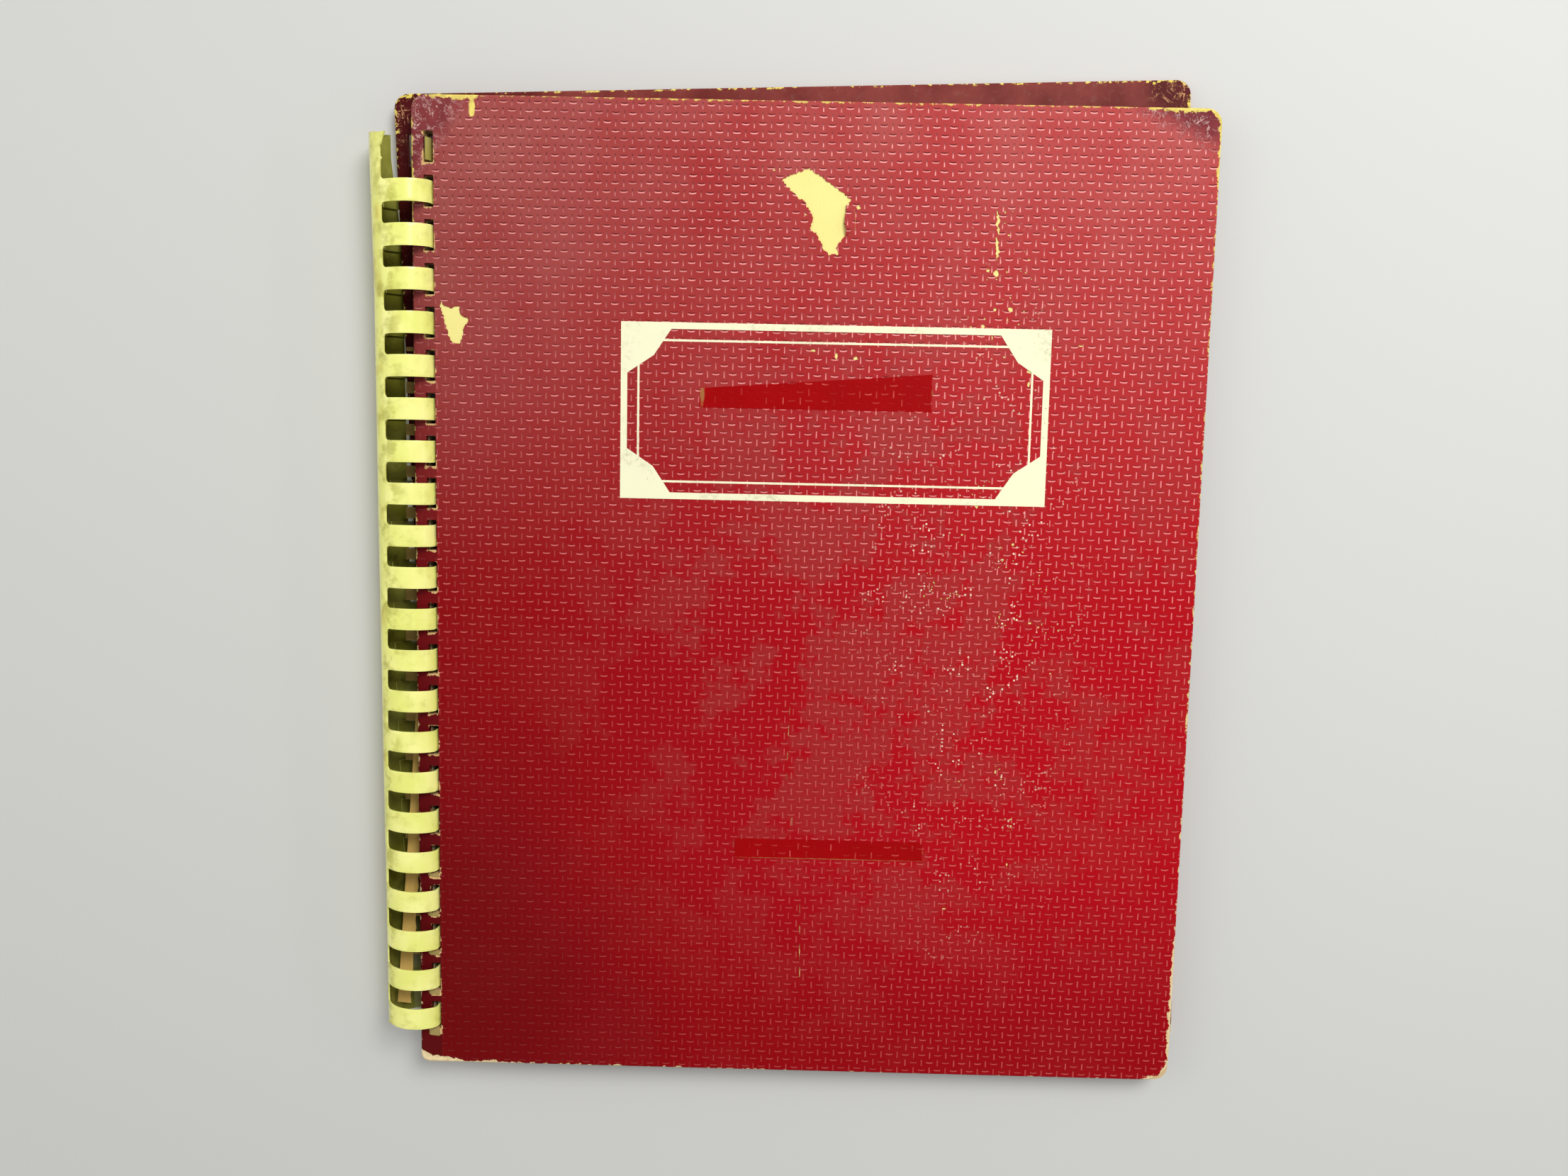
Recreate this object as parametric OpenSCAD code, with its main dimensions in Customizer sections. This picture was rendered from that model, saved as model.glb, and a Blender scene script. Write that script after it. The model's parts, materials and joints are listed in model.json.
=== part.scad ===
// Comb-bound photo album: two leatherette covers, a twisted plastic comb and loose album leaves.
// The album lies on its back cover. X runs from the spine to the fore edge, Y along the spine
// towards the top of the album, and Z up. Z = 0 is the outer face of the back cover, and the
// origin is under the middle of the front cover. All sizes are in millimetres.

/* [Covers] */
// Height of a cover, along the spine
cover_h = 333.4; // [300:0.1:380]
// Width of a cover, from its spine edge to its fore edge
cover_w = 266.7; // [220:0.1:320]
// Thickness of the chipboard in a cover
board_t = 1.85; // [1.4:0.05:2.2]
// Thickness of the leatherette over the boards
cloth_t = 0.3; // [0.2:0.05:0.5]
// Width of the leatherette turned in over the inner face
turn_in = 16; // [12:0.5:30]
// Radius of the worn corners of a cover
corner_r = 5; // [2:0.5:12]
// Distance of the front cover's bending crease from its spine edge
crease_x = 8.6; // [8.2:0.1:12]
// Width of the groove pressed along a crease
groove_w = 0.5; // [0.3:0.1:0.8]
// Depth of the groove pressed along a crease
groove_d = 0.15; // [0.05:0.05:0.2]

/* [Punching] */
// Number of holes along the spine
hole_count = 22; // [8:1:23]
// Distance from one hole to the next
hole_pitch = 14.2875; // [13.8:0.0125:14.4]
// Width of a hole, across the spine
hole_w = 3.4; // [3.2:0.1:3.9]
// Length of a hole, along the spine
hole_l = 10.4; // [10.2:0.1:11]
// Margin between the spine edge and the holes
hole_margin = 4; // [3.8:0.1:4.2]
// How far the row of holes lies towards the top of the album
row_shift = 0.8; // [0:0.1:2]

/* [Comb] */
// Radius of the rings, at the middle of the plastic
ring_r = 10; // [9.8:0.05:10.2]
// Thickness of the plastic in the fingers
plastic_t = 0.5; // [0.3:0.05:0.6]
// How much thicker the spine band is, on each side
band_extra = 0.05; // [0.02:0.01:0.1]
// Width of a finger, along the spine
finger_w = 7.3; // [6:0.1:7.5]
// Shrinkage of the old comb against the punching, as a share of its length
shrink = 0.0057; // [0:0.0001:0.006]
// Angle that the spine band takes round the ring
spine_arc = 110; // [90:1:112]
// Angle from the fore edge up and over to the band's upper edge, at the top of the album
root_angle = 119; // [117:1:122]
// Angle by which the comb has twisted at the bottom of the album
twist = 41; // [0:1:44]
// Angle of the round part of a finger, from the band to the start of its tuck
finger_arc = 164; // [155:1:170]
// Angle of the tucked end of a finger, which lies inside the band
tuck_arc = 109; // [95:1:115]
// How far inside the band the tucked end of a finger lies
tuck_dip = 0.8; // [0.75:0.05:0.9]
// How much narrower the tucked end is, on each side
tuck_taper = 0.1; // [0.05:0.05:0.5]
// Radius of the corners where two fingers meet the band
web_r = 1.8; // [1:0.1:2.2]
// Radius of the broken-off first finger, which has curled up tighter
curl_r = 7; // [6.8:0.1:7.2]
// Angle at which the broken finger's upper end stands in the hole
curl_top = 41; // [36:1:42]
// Angle that the broken finger takes round its curl
curl_arc = 126; // [90:1:128]
// Length of the stub of the broken first finger, along its upper side
stub_len = 2.7; // [1.5:0.1:4]
// How far the band runs past the last finger
tail_len = 2; // [0:0.5:4]

/* [Leaves] */
// Height of a leaf
leaf_h = 323.8; // [280:0.1:330]
// Width of a leaf
leaf_w = 257.2; // [200:0.1:260]
// Thickness of a leaf
leaf_t = 0.32; // [0.2:0.01:0.34]
// Air between two leaves
leaf_gap = 0.06; // [0.04:0.01:0.08]
// Radius of a leaf's corners
leaf_corner = 2; // [0.5:0.5:6]
// Distance of a turning leaf's spine edge from the ring axis
leaf_edge = 3.8; // [3.7:0.05:3.9]
// Distance of a resting leaf's spine edge from the ring axis
resting_edge = 3.3; // [3.2:0.05:3.4]
// How far the leaves lie out of square with each other
leaf_scatter = 0.15; // [0:0.05:0.2]

/* [Torn margins] */
// Width of the margin that is still threaded on the comb
threaded_w = 17; // [15:0.5:20]
// Length of the threaded margin, along the spine
threaded_l = 226; // [120:1:240]
// Lean of the threaded margin against the spine, in degrees
threaded_lean = 0.8; // [0:0.1:1.2]
// Width of the margin that lies loose in the rings
loose_w = 5.1; // [4:0.1:6]
// Length of the loose margin
loose_l = 122; // [60:1:130]
// Lean of the loose margin against the spine, in degrees
loose_lean = 4.2; // [0:0.1:4.4]
// Depth of the teeth on a torn edge
tear_depth = 0.7; // [0.2:0.1:1]
// Length of one tooth on a torn edge
tear_pitch = 3.1; // [2:0.1:6]

/* [Old tape] */
// Thickness of the old cellophane tape
tape_t = 0.08; // [0.05:0.01:0.2]
// Distance of the upper strip's spine end from the crease
tape_upper_x = 88; // [60:0.5:110]
// Distance of the upper strip's lower edge from the cover's top edge
tape_upper_y = 99.5; // [60:0.5:140]
// Length of the upper strip of tape
tape_upper_l = 78.5; // [40:0.5:90]
// Width of the upper strip at its spine end
tape_upper_w0 = 6.5; // [5:0.5:12]
// Width of the upper strip at its torn end
tape_upper_w1 = 12.5; // [6:0.5:15]
// Distance of the lower strip's spine end from the crease
tape_lower_x = 102.5; // [60:0.5:120]
// Distance of the lower strip's lower edge from the cover's bottom edge
tape_lower_y = 78.2; // [40:0.1:140]
// Length of the lower strip of tape
tape_lower_l = 66; // [40:0.5:90]
// Width of the lower strip of tape
tape_lower_w = 6.8; // [5:0.1:12]

/* [Placement] */
// Distance of the front cover's spine edge from the ring axis
front_edge = 3.3; // [3.2:0.1:3.5]
// Height of the front cover's outer face over the ring axis
front_top = 3.4; // [3:0.1:3.6]
// Distance of the back cover's spine edge from the ring axis, at its middle
back_edge = 0.9; // [0:0.1:2]
// Turn of the back cover in its own plane, in degrees
back_skew = 2; // [0:0.1:2.2]
// How far the back cover has slipped towards the top of the album
back_slip = 0.9; // [0:0.1:1]
// Clearance between the comb and what it passes through
comb_clear = 0.4; // [0.3:0.05:0.6]

/* [Hidden] */
$fn = 48;

// A cut runs past the faces that it opens by this much
past = 1;
// Height levels of the block: ten leaves turn with the front cover, two lie on the back cover,
// and the two torn margins lie between them
level_t = leaf_t + leaf_gap;
turning_count = 10;
resting_count = 2;
level_count = resting_count + 2 + turning_count;
block_t = level_count*level_t + leaf_gap;
cover_t = board_t + 2*cloth_t;
// Places of the covers and of the ring axis
front_z = 2*cover_t + block_t;
axis_z = front_z - front_top;
axis_x = -(front_edge + cover_w/2);
back_inner = cover_t - axis_z;
back_outer = -axis_z;
// Ring radii
ring_out = ring_r + plastic_t/2;
ring_in = ring_r - plastic_t/2;
// Comb along the spine: its top finger lies a little below the middle of the top hole
comb_pitch = hole_pitch*(1 - shrink);
finger_slip = -0.5;
gap_w = comb_pitch - finger_w;
// A tucked end laps over the round of its finger by this angle
lap_angle = 2;
tuck_w = finger_w - 2*tuck_taper;
tuck_step = 0.4*plastic_t;
// A finger narrows to its own thickness this far past the band's edge
root_len = 1.2*web_r;
// Middle of the broken finger's curl, across and up from the ring axis
curl_at = [2.6, -1.5];
// Cuts that meet along a line cross by this much
hair = 0.02;
// A hole that has worn nearer than this to the spine edge has torn through it
torn_margin = 1.2;
// Upper ends of the torn margins: across from the ring axis, and along the spine
threaded_at = [-1.2, 86];
loose_at = [1.9, -26];
// Lower spine corners of the tapes, from the cover's spine edge and its middle
tape_upper_at = [crease_x + tape_upper_x, cover_h/2 - tape_upper_y];
tape_lower_at = [crease_x + tape_lower_x, tape_lower_y - cover_h/2];

// Middle of hole i along the spine, counted from the top of the album
function hole_y(i) = row_shift + ((hole_count - 1)/2 - i)*hole_pitch;
// Middle of finger i along the spine: the comb is shorter than the row of holes
function finger_y(i) = hole_y(0) + finger_slip - i*comb_pitch;
// Upper edge of the spine band at a height y: the twist grows towards the bottom of the album,
// in half degrees, so that the edges of neighbouring cuts are in line or clearly apart
function root(y) = root_angle
    + round(2*twist*pow((finger_y(0) - y)/(comb_pitch*(hole_count - 1)), 3))/2;
// Where a ring of radius r crosses a height z over its axis
function ring_x(z, r) = sqrt(r*r - z*z);
// Underside of a level of the block, over Z = 0
function level_z(k) = cover_t + leaf_gap + k*level_t;

// Places a child that is drawn about the ring axis
module at_axis() {
    translate([axis_x, 0, axis_z]) children();
}

// Rectangle with round corners, its spine edge on x = 0 and its middle on y = 0
module round_sheet(w, h, r) {
    translate([0, r - h/2]) square([w, h - 2*r]);
    translate([r, -h/2]) square([w - 2*r, h]);
    for (x = [r, w - r], y = [r - h/2, h/2 - r]) translate([x, y]) circle(r);
}

// A cover's outline, drawn in by a distance all round
module cover_outline(inset) {
    translate([inset, 0])
        round_sheet(cover_w - 2*inset, cover_h - 2*inset, max(corner_r - inset, 0.5));
}

// The row of punched holes, with their near wall at a distance from the spine edge
module hole_row(margin) {
    for (i = [0 : hole_count - 1])
        translate([margin, hole_y(i) - hole_l/2]) square([hole_w, hole_l]);
}

// A cover's layers, drawn with the outer face on z = 0 and the inner face below it
module cover_board() {
    translate([0, 0, -cloth_t - board_t]) linear_extrude(board_t) cover_outline(cloth_t);
}

module cover_lining() {
    translate([turn_in, -cover_h/2 + turn_in, -cover_t])
        cube([cover_w - 2*turn_in, cover_h - 2*turn_in, cloth_t]);
}

module cover_cloth() {
    difference() {
        translate([0, 0, -cover_t]) linear_extrude(cover_t) cover_outline(0);
        cover_board();
        translate([turn_in, -cover_h/2 + turn_in, -cover_t - past])
            cube([cover_w - 2*turn_in, cover_h - 2*turn_in, cloth_t + past]);
    }
}

// The groove of a crease, in the outer face
module groove(x) {
    translate([x - groove_w/2, -cover_h, -groove_d]) cube([groove_w, 2*cover_h, groove_d + past]);
}

// Keeps what lies between two distances from the spine edge
module between(x0, x1) {
    intersection() {
        children();
        translate([x0, -cover_h, -cover_t - past]) cube([x1 - x0, 2*cover_h, cover_t + 2*past]);
    }
}

module front_holes() {
    translate([0, 0, -cover_t - past]) linear_extrude(cover_t + 2*past) hole_row(hole_margin);
}

module at_front() {
    translate([axis_x + front_edge, 0, front_z]) children();
}

module front_panel_board() {
    color("tan") at_front() between(crease_x + groove_w, cover_w) cover_board();
}

module front_panel_cloth() {
    color("firebrick") at_front() difference() {
        between(crease_x, cover_w) cover_cloth();
        groove(crease_x);
    }
}

module front_panel_lining() {
    color("maroon") at_front() cover_lining();
}

module front_strip_board() {
    color("tan") at_front() difference() {
        between(0, crease_x - groove_w) cover_board();
        front_holes();
    }
}

module front_strip_cloth() {
    color("firebrick") at_front() difference() {
        between(0, crease_x) cover_cloth();
        front_holes();
        groove(crease_x);
    }
}

// The back cover lies the other way up, and has turned in its plane
module at_back() {
    translate([axis_x + back_edge, back_slip, 0]) rotate([0, 0, back_skew])
        mirror([0, 0, 1]) children();
}

// A place seen from the ring axis, in the back cover's own plane
function across(x, y) = (x - back_edge)*cos(back_skew) + (y - back_slip)*sin(back_skew);
function along(x, y) = (y - back_slip)*cos(back_skew) - (x - back_edge)*sin(back_skew);

// The comb has dragged each hole of the back cover out to where its finger now passes,
// and the lower holes have torn open through the spine edge
module worn_slot(i) {
    near = ring_x(back_outer, ring_in) - tuck_dip - 2*comb_clear;
    far = ring_x(back_inner, ring_out) + comb_clear;
    torn = min(hole_margin, across(near, finger_y(i)));
    x0 = torn < torn_margin ? -past : torn;
    x1 = max(hole_margin + hole_w, across(far, finger_y(i)));
    mid = along((near + far)/2, finger_y(i));
    half = finger_w/2 + comb_clear + far*sin(back_skew)/2;
    y0 = min(hole_y(i) - hole_l/2, mid - half);
    y1 = max(hole_y(i) + hole_l/2, mid + half);
    translate([x0, y0]) square([x1 - x0, y1 - y0]);
}

module back_holes() {
    translate([0, 0, -cover_t - past]) linear_extrude(cover_t + 2*past)
        for (i = [0 : hole_count - 1]) worn_slot(i);
}

// The back cover's crease runs along the comb, just past the outermost ring
module back_crease() {
    translate([across(ring_out + comb_clear, 0), 0, 0]) rotate([0, 0, -back_skew]) groove(0);
}

module back_cover_board() {
    color("tan") at_back() difference() {
        cover_board();
        back_holes();
    }
}

module back_cover_cloth() {
    color("firebrick") at_back() difference() {
        cover_cloth();
        back_holes();
        back_crease();
    }
}

module back_cover_lining() {
    color("maroon") at_back() cover_lining();
}

// The comb is drawn about z, with the album's top towards -z. Angles run from the fore edge up
// and over. Its spine band is a tube with all that isn't band cut away.
comb_top = finger_y(0) + finger_w/2;
comb_end = finger_y(hole_count - 1) - finger_w/2 - tail_len;

// Cuts away the tube between two angles and two heights along the spine
module sector_cut(a0, a1, y0, y1) {
    steps = ceil((a1 - a0)/40);
    translate([0, 0, -y1]) linear_extrude(y1 - y0)
        polygon(concat([[0, 0]], [for (j = [0 : steps])
            let (a = a0 + (a1 - a0)*j/steps) 2*ring_r*[cos(a), sin(a)]]));
}

// Cuts through the plastic at an angle. The outline is drawn with x along the ring, growing
// with the angle, and y against the spine's direction.
module radial_cut(angle) {
    rotate([0, 0, angle]) translate([ring_in - past, 0, 0]) rotate([90, 0, 90])
        linear_extrude(plastic_t + 2*past) children();
}

// An arc of the ring, as an angle
function arc_angle(length) = length/ring_r*180/PI;

// The gap between fingers i and i + 1: all but the spine band goes, and the corners are round
module gap_cut(i) {
    y1 = finger_y(i) - finger_w/2;
    y0 = finger_y(i + 1) + finger_w/2;
    a = root((y0 + y1)/2);
    sector_cut(a + spine_arc - 360, a - arc_angle(web_r), y0, y1);
    radial_cut(a) translate([0, -y1 + hair]) {
        for (y = [web_r, gap_w - 2*hair - web_r]) translate([-web_r, y]) circle(web_r);
        translate([-web_r, web_r]) square([web_r, gap_w - 2*hair - 2*web_r]);
        translate([-1.3*web_r, 0]) square([0.3*web_r, gap_w - 2*hair]);
    }
}

// Where a finger leaves the band
module root_cut(i) {
    a = root(finger_y(i));
    sector_cut(a + spine_arc - 360, a - arc_angle(root_len), finger_y(i) - finger_w/2 - hair,
        finger_y(i) + finger_w/2 + hair);
}

// The first finger has broken off: its torn edge runs back to the band
module broken_cut() {
    a = root(finger_y(0));
    low = finger_y(0) - finger_w/2;
    sector_cut(a + spine_arc - 360, a - arc_angle(stub_len), low - hair, comb_top + past);
    radial_cut(a) translate([0, -comb_top])
        polygon([[0, finger_w + hair], [-0.3, 0.62*finger_w], [0.3, 0.55*finger_w],
            [-stub_len, -past], [-1.2*stub_len, -past], [-1.2*stub_len, finger_w + hair]]);
}

// Past the last finger only the band runs on
module tail_cut() {
    last_y = finger_y(hole_count - 1);
    sector_cut(root(last_y) + spine_arc - 360, root(last_y), comb_end - past, last_y - finger_w/2);
}

// A curved strip of plastic: an angle and a width, from a start angle and a place on the spine
module strip(start, angle, y, w) {
    rotate([0, 0, start]) rotate_extrude(angle = angle)
        translate([ring_in, -y - w/2]) square([plastic_t, w]);
}

// A finger: it starts well inside the band and runs round to its tuck
module finger(i) {
    a = root(finger_y(i));
    strip(a - finger_arc, finger_arc + 0.4*spine_arc, finger_y(i), finger_w - 2*hair);
    tucked_end(a - finger_arc, finger_y(i));
}

// The tucked end steps in within the plastic's thickness and turns inwards by a few degrees,
// so that its tip lies inside the band
module tucked_end(start, y) {
    out = [cos(start), sin(start), 0];
    translate((ring_r - tuck_step)*out) rotate([0, 0, -asin(tuck_dip/ring_r)])
        translate(-ring_r*out) strip(start - tuck_arc, tuck_arc + lap_angle, y, tuck_w);
}

module binding_comb() {
    color("khaki") at_axis() rotate([90, 0, 0]) {
        difference() {
            translate([0, 0, -comb_top]) rotate_extrude()
                translate([ring_in - band_extra, 0])
                    square([plastic_t + 2*band_extra, comb_top - comb_end]);
            for (i = [0 : hole_count - 2]) gap_cut(i);
            for (i = [1 : hole_count - 1]) root_cut(i);
            broken_cut();
            tail_cut();
        }
        for (i = [1 : hole_count - 1]) finger(i);
    }
}

// What is left of the first finger has curled up tighter and hangs in the first hole
module broken_finger() {
    color("khaki") at_axis() rotate([90, 0, 0])
        translate([curl_at[0], curl_at[1], -finger_y(0) - finger_w/2]) rotate([0, 0, curl_top - curl_arc])
            rotate_extrude(angle = curl_arc) translate([curl_r - plastic_t/2, 0])
                square([plastic_t, finger_w]);
}

// One album leaf at a level of the block. No two lie quite square in the rings.
module leaf(k, level, edge) {
    color("burlywood")
        translate([axis_x + edge + leaf_scatter*sin(137*k), leaf_scatter*cos(97*k), level_z(level)])
            linear_extrude(leaf_t) difference() {
                round_sheet(leaf_w, leaf_h, leaf_corner);
                hole_row(hole_margin - 0.15);
            }
}

// A turning leaf: the first lies under the front cover
module turning_leaf(k) {
    leaf(k, level_count - k, leaf_edge);
}

// A resting leaf: the last lies on the back cover
module resting_leaf(k) {
    leaf(turning_count + k, resting_count - k, resting_edge);
}

// The points of a torn edge, from y0 to y1, as teeth of a changing depth
function torn_edge(x, y0, y1) = let (n = max(4, round(abs(y1 - y0)/tear_pitch)))
    [for (j = [0 : n]) [x - tear_depth*abs(sin(j*77 + 20)), y0 + (y1 - y0)*j/n]];

// A leaf's margin, torn off down its length. Its holes have torn open on the spine side,
// so it hangs in the rings by its tongues.
module torn_margin_threaded() {
    notch_end = ring_out + comb_clear;
    color("peru") translate([axis_x, 0, level_z(resting_count)]) linear_extrude(leaf_t) difference() {
        translate(threaded_at) rotate([0, 0, -threaded_lean])
            translate([0, -threaded_l])
                polygon(concat([[0, 0]], torn_edge(threaded_w, 0, threaded_l), [[0, threaded_l]]));
        for (i = [0 : hole_count - 1])
            translate([-ring_r, hole_y(i) - hole_l/2]) square([ring_r + notch_end, hole_l]);
    }
}

// Another leaf's margin, torn off between its edge and its holes, loose inside the rings
module torn_margin_loose() {
    color("peru") translate([axis_x, 0, level_z(resting_count + 1)]) linear_extrude(leaf_t)
        translate(loose_at) rotate([0, 0, -loose_lean]) translate([0, -loose_l])
            polygon(concat([[0, 0]], torn_edge(loose_w, 0, loose_l), [[0, loose_l]]));
}

// A strip of old tape on the front cover: its place is that of its lower spine corner, and its
// far end is torn
module tape(place, l, w0, w1) {
    at_front() translate(place) linear_extrude(tape_t)
        polygon(concat([[0, 0]], torn_edge(l, 0, w1), [[0, w0]]));
}

module tape_strip_upper() {
    color("darkred") tape(tape_upper_at, tape_upper_l, tape_upper_w0, tape_upper_w1);
}

module tape_strip_lower() {
    color("darkred") tape(tape_lower_at, tape_lower_l, tape_lower_w, tape_lower_w);
}

front_panel_board();
front_panel_cloth();
front_panel_lining();
front_strip_board();
front_strip_cloth();
back_cover_board();
back_cover_cloth();
back_cover_lining();
binding_comb();
broken_finger();
turning_leaf(1);  // leaf_01
turning_leaf(2);  // leaf_02
turning_leaf(3);  // leaf_03
turning_leaf(4);  // leaf_04
turning_leaf(5);  // leaf_05
turning_leaf(6);  // leaf_06
turning_leaf(7);  // leaf_07
turning_leaf(8);  // leaf_08
turning_leaf(9);  // leaf_09
turning_leaf(10);  // leaf_10
resting_leaf(1);  // leaf_11
resting_leaf(2);  // leaf_12
torn_margin_threaded();
torn_margin_loose();
tape_strip_upper();
tape_strip_lower();
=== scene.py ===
# %% [markdown]
# # An old comb-bound photo album
#
# The album lies closed on its back cover. It has two boards covered with red embossed
# leatherette, a comb of yellowed plastic curled through a row of oblong holes, and inside it
# leaves of heavy album paper. The CAD model gives every piece's place, so it is loaded first,
# and each piece made here either stands for a CAD solid or gives it a better finish.

import json
import math
import random
from functools import partial

import bmesh
import bpy
import numpy as np
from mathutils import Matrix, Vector

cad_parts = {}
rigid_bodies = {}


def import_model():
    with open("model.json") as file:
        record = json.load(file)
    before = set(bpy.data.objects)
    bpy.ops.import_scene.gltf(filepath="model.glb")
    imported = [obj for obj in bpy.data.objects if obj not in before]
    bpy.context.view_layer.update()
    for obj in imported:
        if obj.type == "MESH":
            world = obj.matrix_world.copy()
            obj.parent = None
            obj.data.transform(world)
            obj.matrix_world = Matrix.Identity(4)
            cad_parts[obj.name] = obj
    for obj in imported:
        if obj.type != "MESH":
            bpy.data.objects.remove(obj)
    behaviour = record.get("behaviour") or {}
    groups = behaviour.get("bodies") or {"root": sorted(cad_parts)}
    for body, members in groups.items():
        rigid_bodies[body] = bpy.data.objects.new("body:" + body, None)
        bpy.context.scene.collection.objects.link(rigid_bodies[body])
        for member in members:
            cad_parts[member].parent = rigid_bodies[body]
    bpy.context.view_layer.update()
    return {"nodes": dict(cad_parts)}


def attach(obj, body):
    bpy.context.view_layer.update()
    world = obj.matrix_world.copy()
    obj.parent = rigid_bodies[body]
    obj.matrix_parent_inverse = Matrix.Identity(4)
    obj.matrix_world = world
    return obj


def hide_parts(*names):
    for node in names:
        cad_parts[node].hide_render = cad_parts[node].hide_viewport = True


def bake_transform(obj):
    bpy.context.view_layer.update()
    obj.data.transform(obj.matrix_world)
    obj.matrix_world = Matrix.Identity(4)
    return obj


bpy.ops.object.select_all(action="SELECT")
bpy.ops.object.delete()
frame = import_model()

# %% [markdown]
# ## The camera
#
# The picture was taken from straight above by someone who leaned a little over the album. The
# camera stands 40 cm over it, with the wide lens of a phone, and its place comes from the
# front cover's four corners and the last fingers of the comb.

# %% Camera
MM = 0.001

lens = bpy.data.cameras.new("overhead_camera")
lens.sensor_width = 36
lens.lens = 27.03
lens.clip_start = 0.01
camera = bpy.data.objects.new("overhead_camera", lens)
camera.location = (-3.09 * MM, 48.65 * MM, 410.82 * MM)
camera.rotation_euler = [math.radians(a) for a in (-5.962, 0.680, 1.214)]
bpy.context.collection.objects.link(camera)
bpy.context.scene.camera = camera
print("camera", round(camera.location.z, 3), "m over the table")

# %% [markdown]
# ## The album's sizes
#
# All sizes are in millimetres, as on a drawing. A place on the front cover is given as u, from
# its spine edge, and v, from its lower edge.

# %% Sizes
COVER_W, COVER_H = 266.7, 333.4
COVER_T, CORNER_R = 2.45, 5.0
SKIN_T = COVER_T - 0.05
FRONT_TALLER, BACK_TALLER = 0.9, 2.2
FRONT_TOP = 10.28
CREASE = 8.6
HOLE_W, HOLE_H, HOLE_MARGIN = 3.4, 10.4, 4.0
HOLE_COUNT, HOLE_PITCH, ROW_SHIFT = 22, 14.2875, 0.8
AXIS_X, AXIS_Z = -136.65, 6.88
RING_R, PLASTIC_T = 10.0, 0.5
FINGER_W = 7.3
COMB_PITCH = HOLE_PITCH * (1 - 0.0057)


def cover_spot(u, v):
    """A place on the front cover, as x and y in millimetres."""
    return u - COVER_W / 2, v - COVER_H / 2


def hole_y(i):
    """The middle of a hole, along the spine."""
    return ROW_SHIFT + ((HOLE_COUNT - 1) / 2 - i) * HOLE_PITCH


def finger_y(i):
    """The middle of a finger: the comb has shrunk, so its fingers stand a little closer."""
    return hole_y(0) - 0.5 - i * COMB_PITCH


def down_spine(y):
    """How far down the comb a place is: 0 at the first finger and 1 at the last."""
    return (finger_y(0) - y) / ((HOLE_COUNT - 1) * COMB_PITCH)


def root_angle(y):
    """The angle of the spine band's edge at y. The comb has twisted, most of all at its foot."""
    return np.radians(119 + 41 * down_spine(y) ** 3)


print("holes from", round(hole_y(0), 1), "to", round(hole_y(HOLE_COUNT - 1), 1), "mm")

# %% [markdown]
# ## Working by hand, in code
#
# Each piece starts from a primitive and is shaped in edit mode. These few helpers do what the
# mouse does: choose a piece, open it, pick its faces or edges by their place, and apply a
# modifier.

# %% Helpers for modelling


def only(piece):
    """Selects this piece alone and makes it the active one."""
    bpy.ops.object.select_all(action="DESELECT")
    piece.select_set(True)
    bpy.context.view_layer.objects.active = piece


def keep_as(name):
    """Names the primitive just added, and puts its place and size into its mesh."""
    piece = bpy.context.active_object
    piece.name = piece.data.name = name
    only(piece)
    bpy.ops.object.transform_apply(location=True, rotation=True, scale=True)
    return piece


def cube(name, size, middle):
    """A block, its size and its middle in millimetres."""
    bpy.ops.mesh.primitive_cube_add(
        size=1, location=[c * MM for c in middle], scale=[c * MM for c in size]
    )
    return keep_as(name)


def open_mesh(piece):
    only(piece)
    bpy.ops.object.mode_set(mode="EDIT")
    bpy.ops.mesh.select_all(action="SELECT")


def close_mesh():
    bpy.ops.object.mode_set(mode="OBJECT")


def pick(kind, test):
    """Selects the vertices, edges or faces of the open mesh whose middle passes the test."""
    bpy.ops.mesh.select_mode(type=kind)
    bpy.ops.mesh.select_all(action="DESELECT")
    mesh = bpy.context.edit_object.data
    shape = bmesh.from_edit_mesh(mesh)
    if kind == "VERT":
        for vert in shape.verts:
            vert.select_set(bool(test(vert.co / MM)))
    elif kind == "EDGE":
        for edge in shape.edges:
            a, b = (vert.co / MM for vert in edge.verts)
            edge.select_set(bool(test((a + b) / 2, (b - a).normalized())))
    else:
        for face in shape.faces:
            face.select_set(bool(test(face.calc_center_median() / MM, face.normal)))
    shape.select_flush_mode()
    bmesh.update_edit_mesh(mesh)


def cut_at(axis, places):
    """Cuts new edges straight through the open mesh at each place along an axis."""
    for place in places:
        point, normal = [0, 0, 0], [0, 0, 0]
        point[axis], normal[axis] = place * MM, 1
        bpy.ops.mesh.select_all(action="SELECT")
        bpy.ops.mesh.bisect(plane_co=point, plane_no=normal, threshold=0.000001)


def round_edges(test, radius, segments):
    """Bevels the open mesh's edges that pass the test."""
    pick("EDGE", test)
    bpy.ops.mesh.bevel(offset=radius * MM, segments=segments, affect="EDGES")


def extrude(x, y, z):
    """Extrudes what is selected in the open mesh, in millimetres."""
    bpy.ops.mesh.extrude_region_move(TRANSFORM_OT_translate={"value": (x * MM, y * MM, z * MM)})


def thicken(height):
    """Makes a block of the open mesh's flat faces, in millimetres."""
    bpy.ops.mesh.select_all(action="SELECT")
    extrude(0, 0, height)
    bpy.ops.mesh.select_all(action="SELECT")
    bpy.ops.mesh.normals_make_consistent(inside=False)


def modify(piece, kind, **settings):
    """Adds a modifier and applies it."""
    only(piece)
    modifier = piece.modifiers.new(kind.lower(), kind)
    for key, value in settings.items():
        setattr(modifier, key, value)
    bpy.ops.object.modifier_apply(modifier=modifier.name)


def places_of(piece):
    """Every vertex's place in metres, as rows of an array."""
    places = np.empty(3 * len(piece.data.vertices))
    piece.data.vertices.foreach_get("co", places)
    return places.reshape(-1, 3)


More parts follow.
